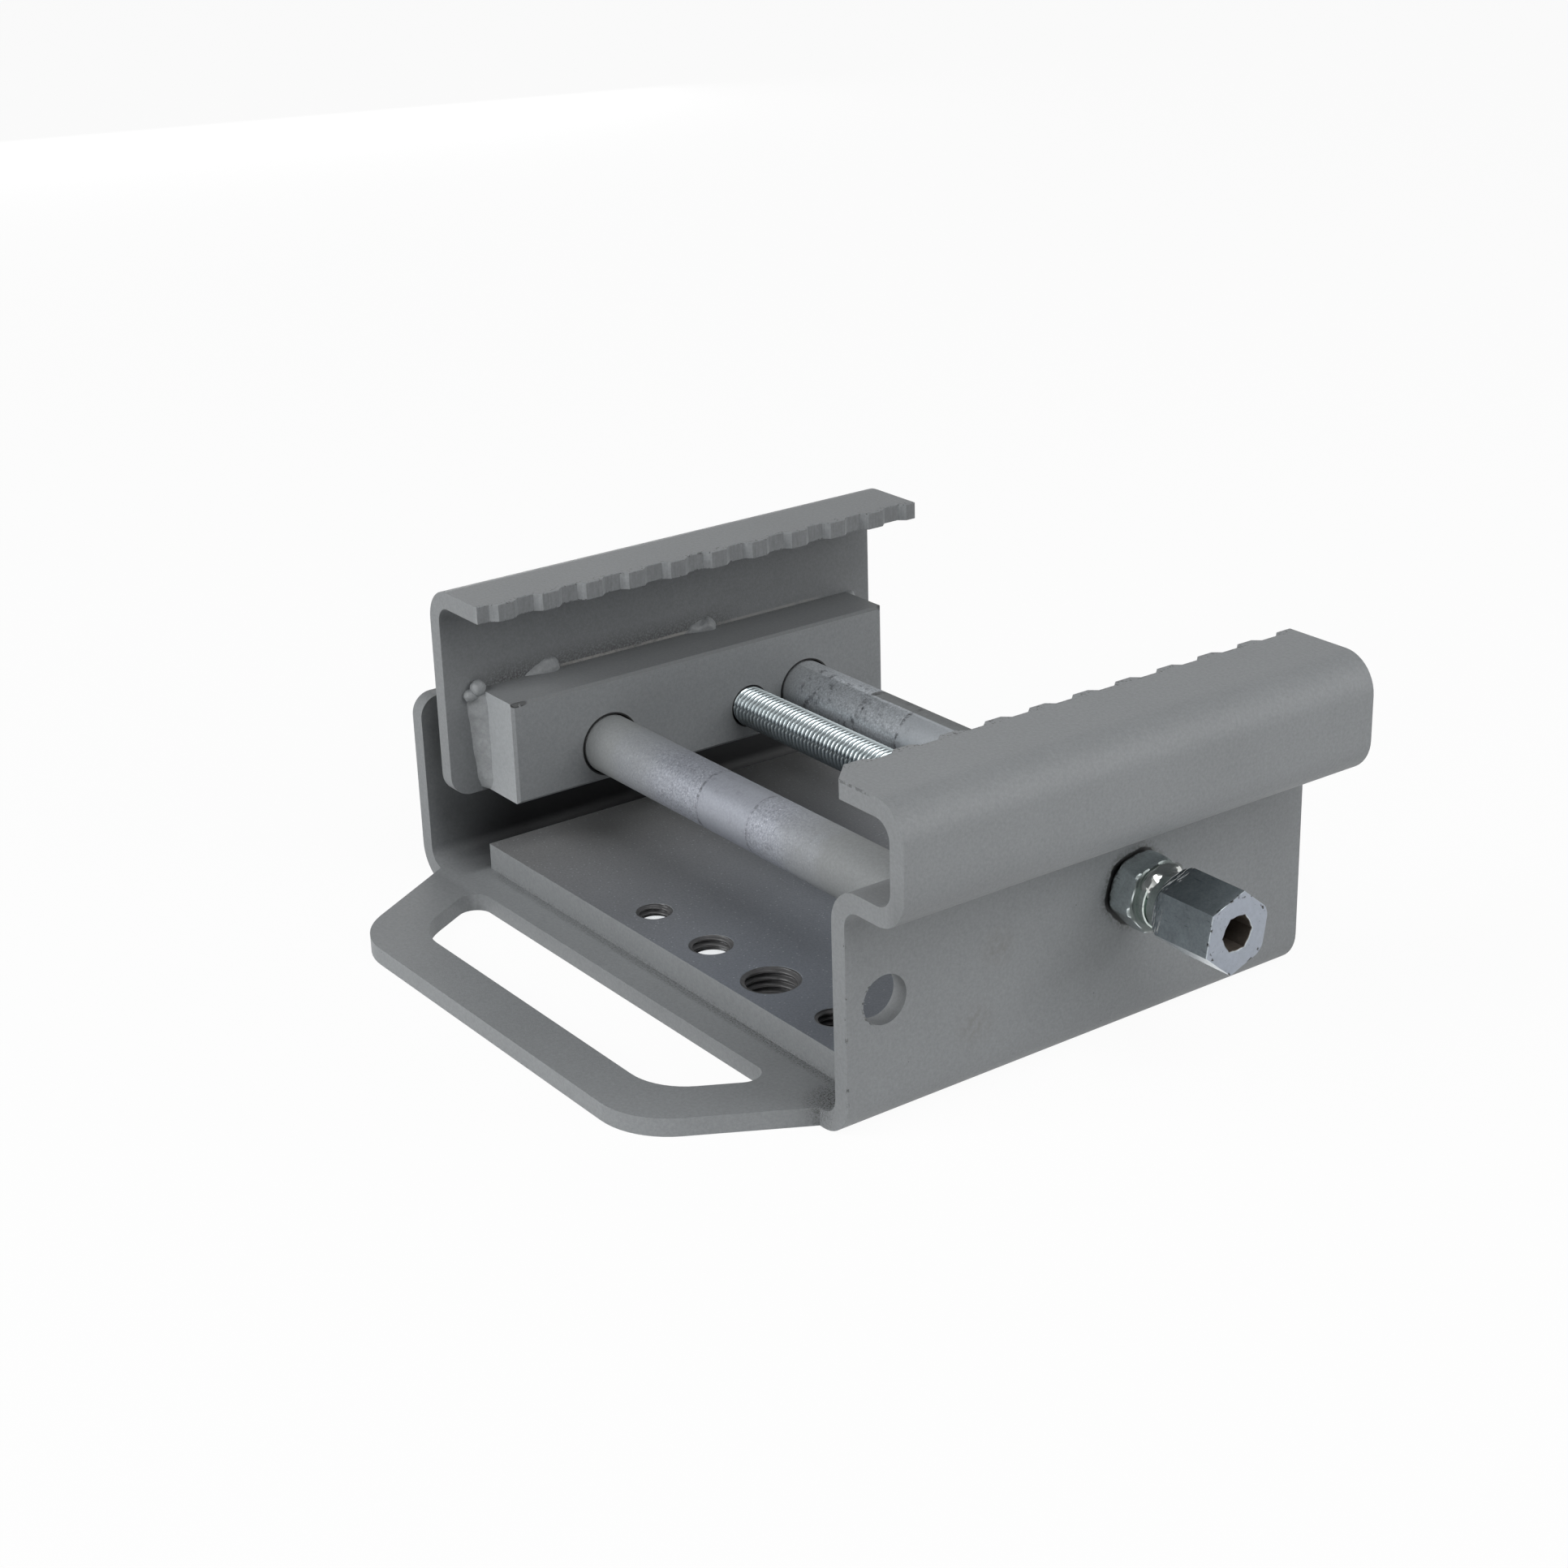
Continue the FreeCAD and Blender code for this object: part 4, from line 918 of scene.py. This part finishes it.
def seen_rays(tree):
    """1 for rays of the camera, of glossy reflections and of transmission."""
    path = tree.nodes.new("ShaderNodeLightPath")
    total = path.outputs["Is Camera Ray"]
    for word in ("Is Glossy Ray", "Is Transmission Ray"):
        total = add_node(tree, "Math", ((0, total), (1, path.outputs[word])), operation="MAXIMUM")
    return total


def make_floor():
    """Plain floor that looks white, keeps the object's shadow and throws soft light back."""
    reach, drop = 6000.0, 0.05
    grey, glow_share = 0.86, 0.95
    material = bpy.data.materials.new("floor")
    material.use_nodes = True
    tree = material.node_tree
    tree.nodes.clear()
    matte = add_node(tree, "BsdfDiffuse", (("Color", (grey, grey, grey, 1.0)),))
    glow = add_node(tree, "Emission", (("Strength", 1.0),))
    share = add_node(tree, "Math", ((0, seen_rays(tree)), (1, glow_share)), operation="MULTIPLY")
    mixed = add_node(tree, "MixShader", ((0, share), (1, matte), (2, glow)))
    tree.links.new(mixed, tree.nodes.new("ShaderNodeOutputMaterial").inputs[0])
    corners = [(-reach, -reach, -drop), (reach, -reach, -drop), (reach, reach, -drop), (-reach, reach, -drop)]
    mesh = bpy.data.meshes.new("floor")
    mesh.from_pydata([Vector(v) * MM for v in corners], [], [(0, 1, 2, 3)])
    mesh.materials.append(material)
    obj = bpy.data.objects.new("floor", mesh)
    bpy.context.scene.collection.objects.link(obj)


def make_world():
    """White backdrop up to a good height with a darker ceiling over it, and plain soft ambient light."""
    world = bpy.data.worlds.new("studio")
    bpy.context.scene.world = world
    world.use_nodes = True
    tree = world.node_tree
    tree.nodes.clear()
    ambient = add_node(tree, "Background", (("Color", (1.0, 1.0, 1.0, 1.0)), ("Strength", 0.04)))
    split = tree.nodes.new("ShaderNodeSeparateXYZ")
    tree.links.new(tree.nodes.new("ShaderNodeTexCoord").outputs["Generated"], split.inputs[0])
    level = add_node(tree, "MapRange", (("Value", split.outputs["Z"]), ("From Min", 0.55), ("From Max", 0.85),
                                        ("To Min", 1.0), ("To Max", 0.2)))
    backdrop = add_node(tree, "Background", (("Color", level), ("Strength", 1.0)))
    mixed = add_node(tree, "MixShader", ((0, seen_rays(tree)), (1, ambient), (2, backdrop)))
    tree.links.new(mixed, tree.nodes.new("ShaderNodeOutputWorld").inputs[0])


def soft_light(name, place, size, power):
    """Area lamp at a place and of a size in metres, turned to the middle of the clamp."""
    target = (0.0, 0.0, 0.03)
    light = bpy.data.lights.new(name, "AREA")
    light.shape = "RECTANGLE"
    light.size, light.size_y = size
    light.energy = power
    obj = bpy.data.objects.new(name, light)
    bpy.context.scene.collection.objects.link(obj)
    obj.location = place
    obj.rotation_euler = (Vector(target) - Vector(place)).to_track_quat("-Z", "Y").to_euler()


def make_camera():
    """Camera fitted to the photograph: it looks down on the front right corner with a slight roll."""
    azimuth, elevation, roll = (math.radians(a) for a in (54.44, 22.43, 1.73))
    place = (0.56918, -0.42480, 0.33425)
    forward = Vector((-math.sin(azimuth) * math.cos(elevation), math.cos(azimuth) * math.cos(elevation),
                      -math.sin(elevation)))
    level = Vector((math.cos(azimuth), math.sin(azimuth), 0.0))
    below = forward.cross(level)
    right = math.cos(roll) * level + math.sin(roll) * below
    down = math.cos(roll) * below - math.sin(roll) * level
    data = bpy.data.cameras.new("camera")
    data.angle = math.radians(31.34)
    data.clip_start = 0.01
    camera = bpy.data.objects.new("camera", data)
    bpy.context.scene.collection.objects.link(camera)
    camera.matrix_world = Matrix.Translation(place) @ Matrix((right, -down, -forward)).transposed().to_4x4()
    bpy.context.scene.camera = camera


make_floor()
make_world()
soft_light("key", (-0.20, -1.25, 0.83), (0.9, 0.7), 14.0)
soft_light("high", (0.85, 0.00, 1.25), (0.9, 0.7), 7.0)
soft_light("side", (1.20, 0.63, 0.65), (0.9, 0.7), 7.1)
soft_light("back", (-1.45, 0.40, 0.12), (0.9, 0.2), 3.2)
make_camera()

scene = bpy.context.scene
scene.view_settings.view_transform = "Standard"
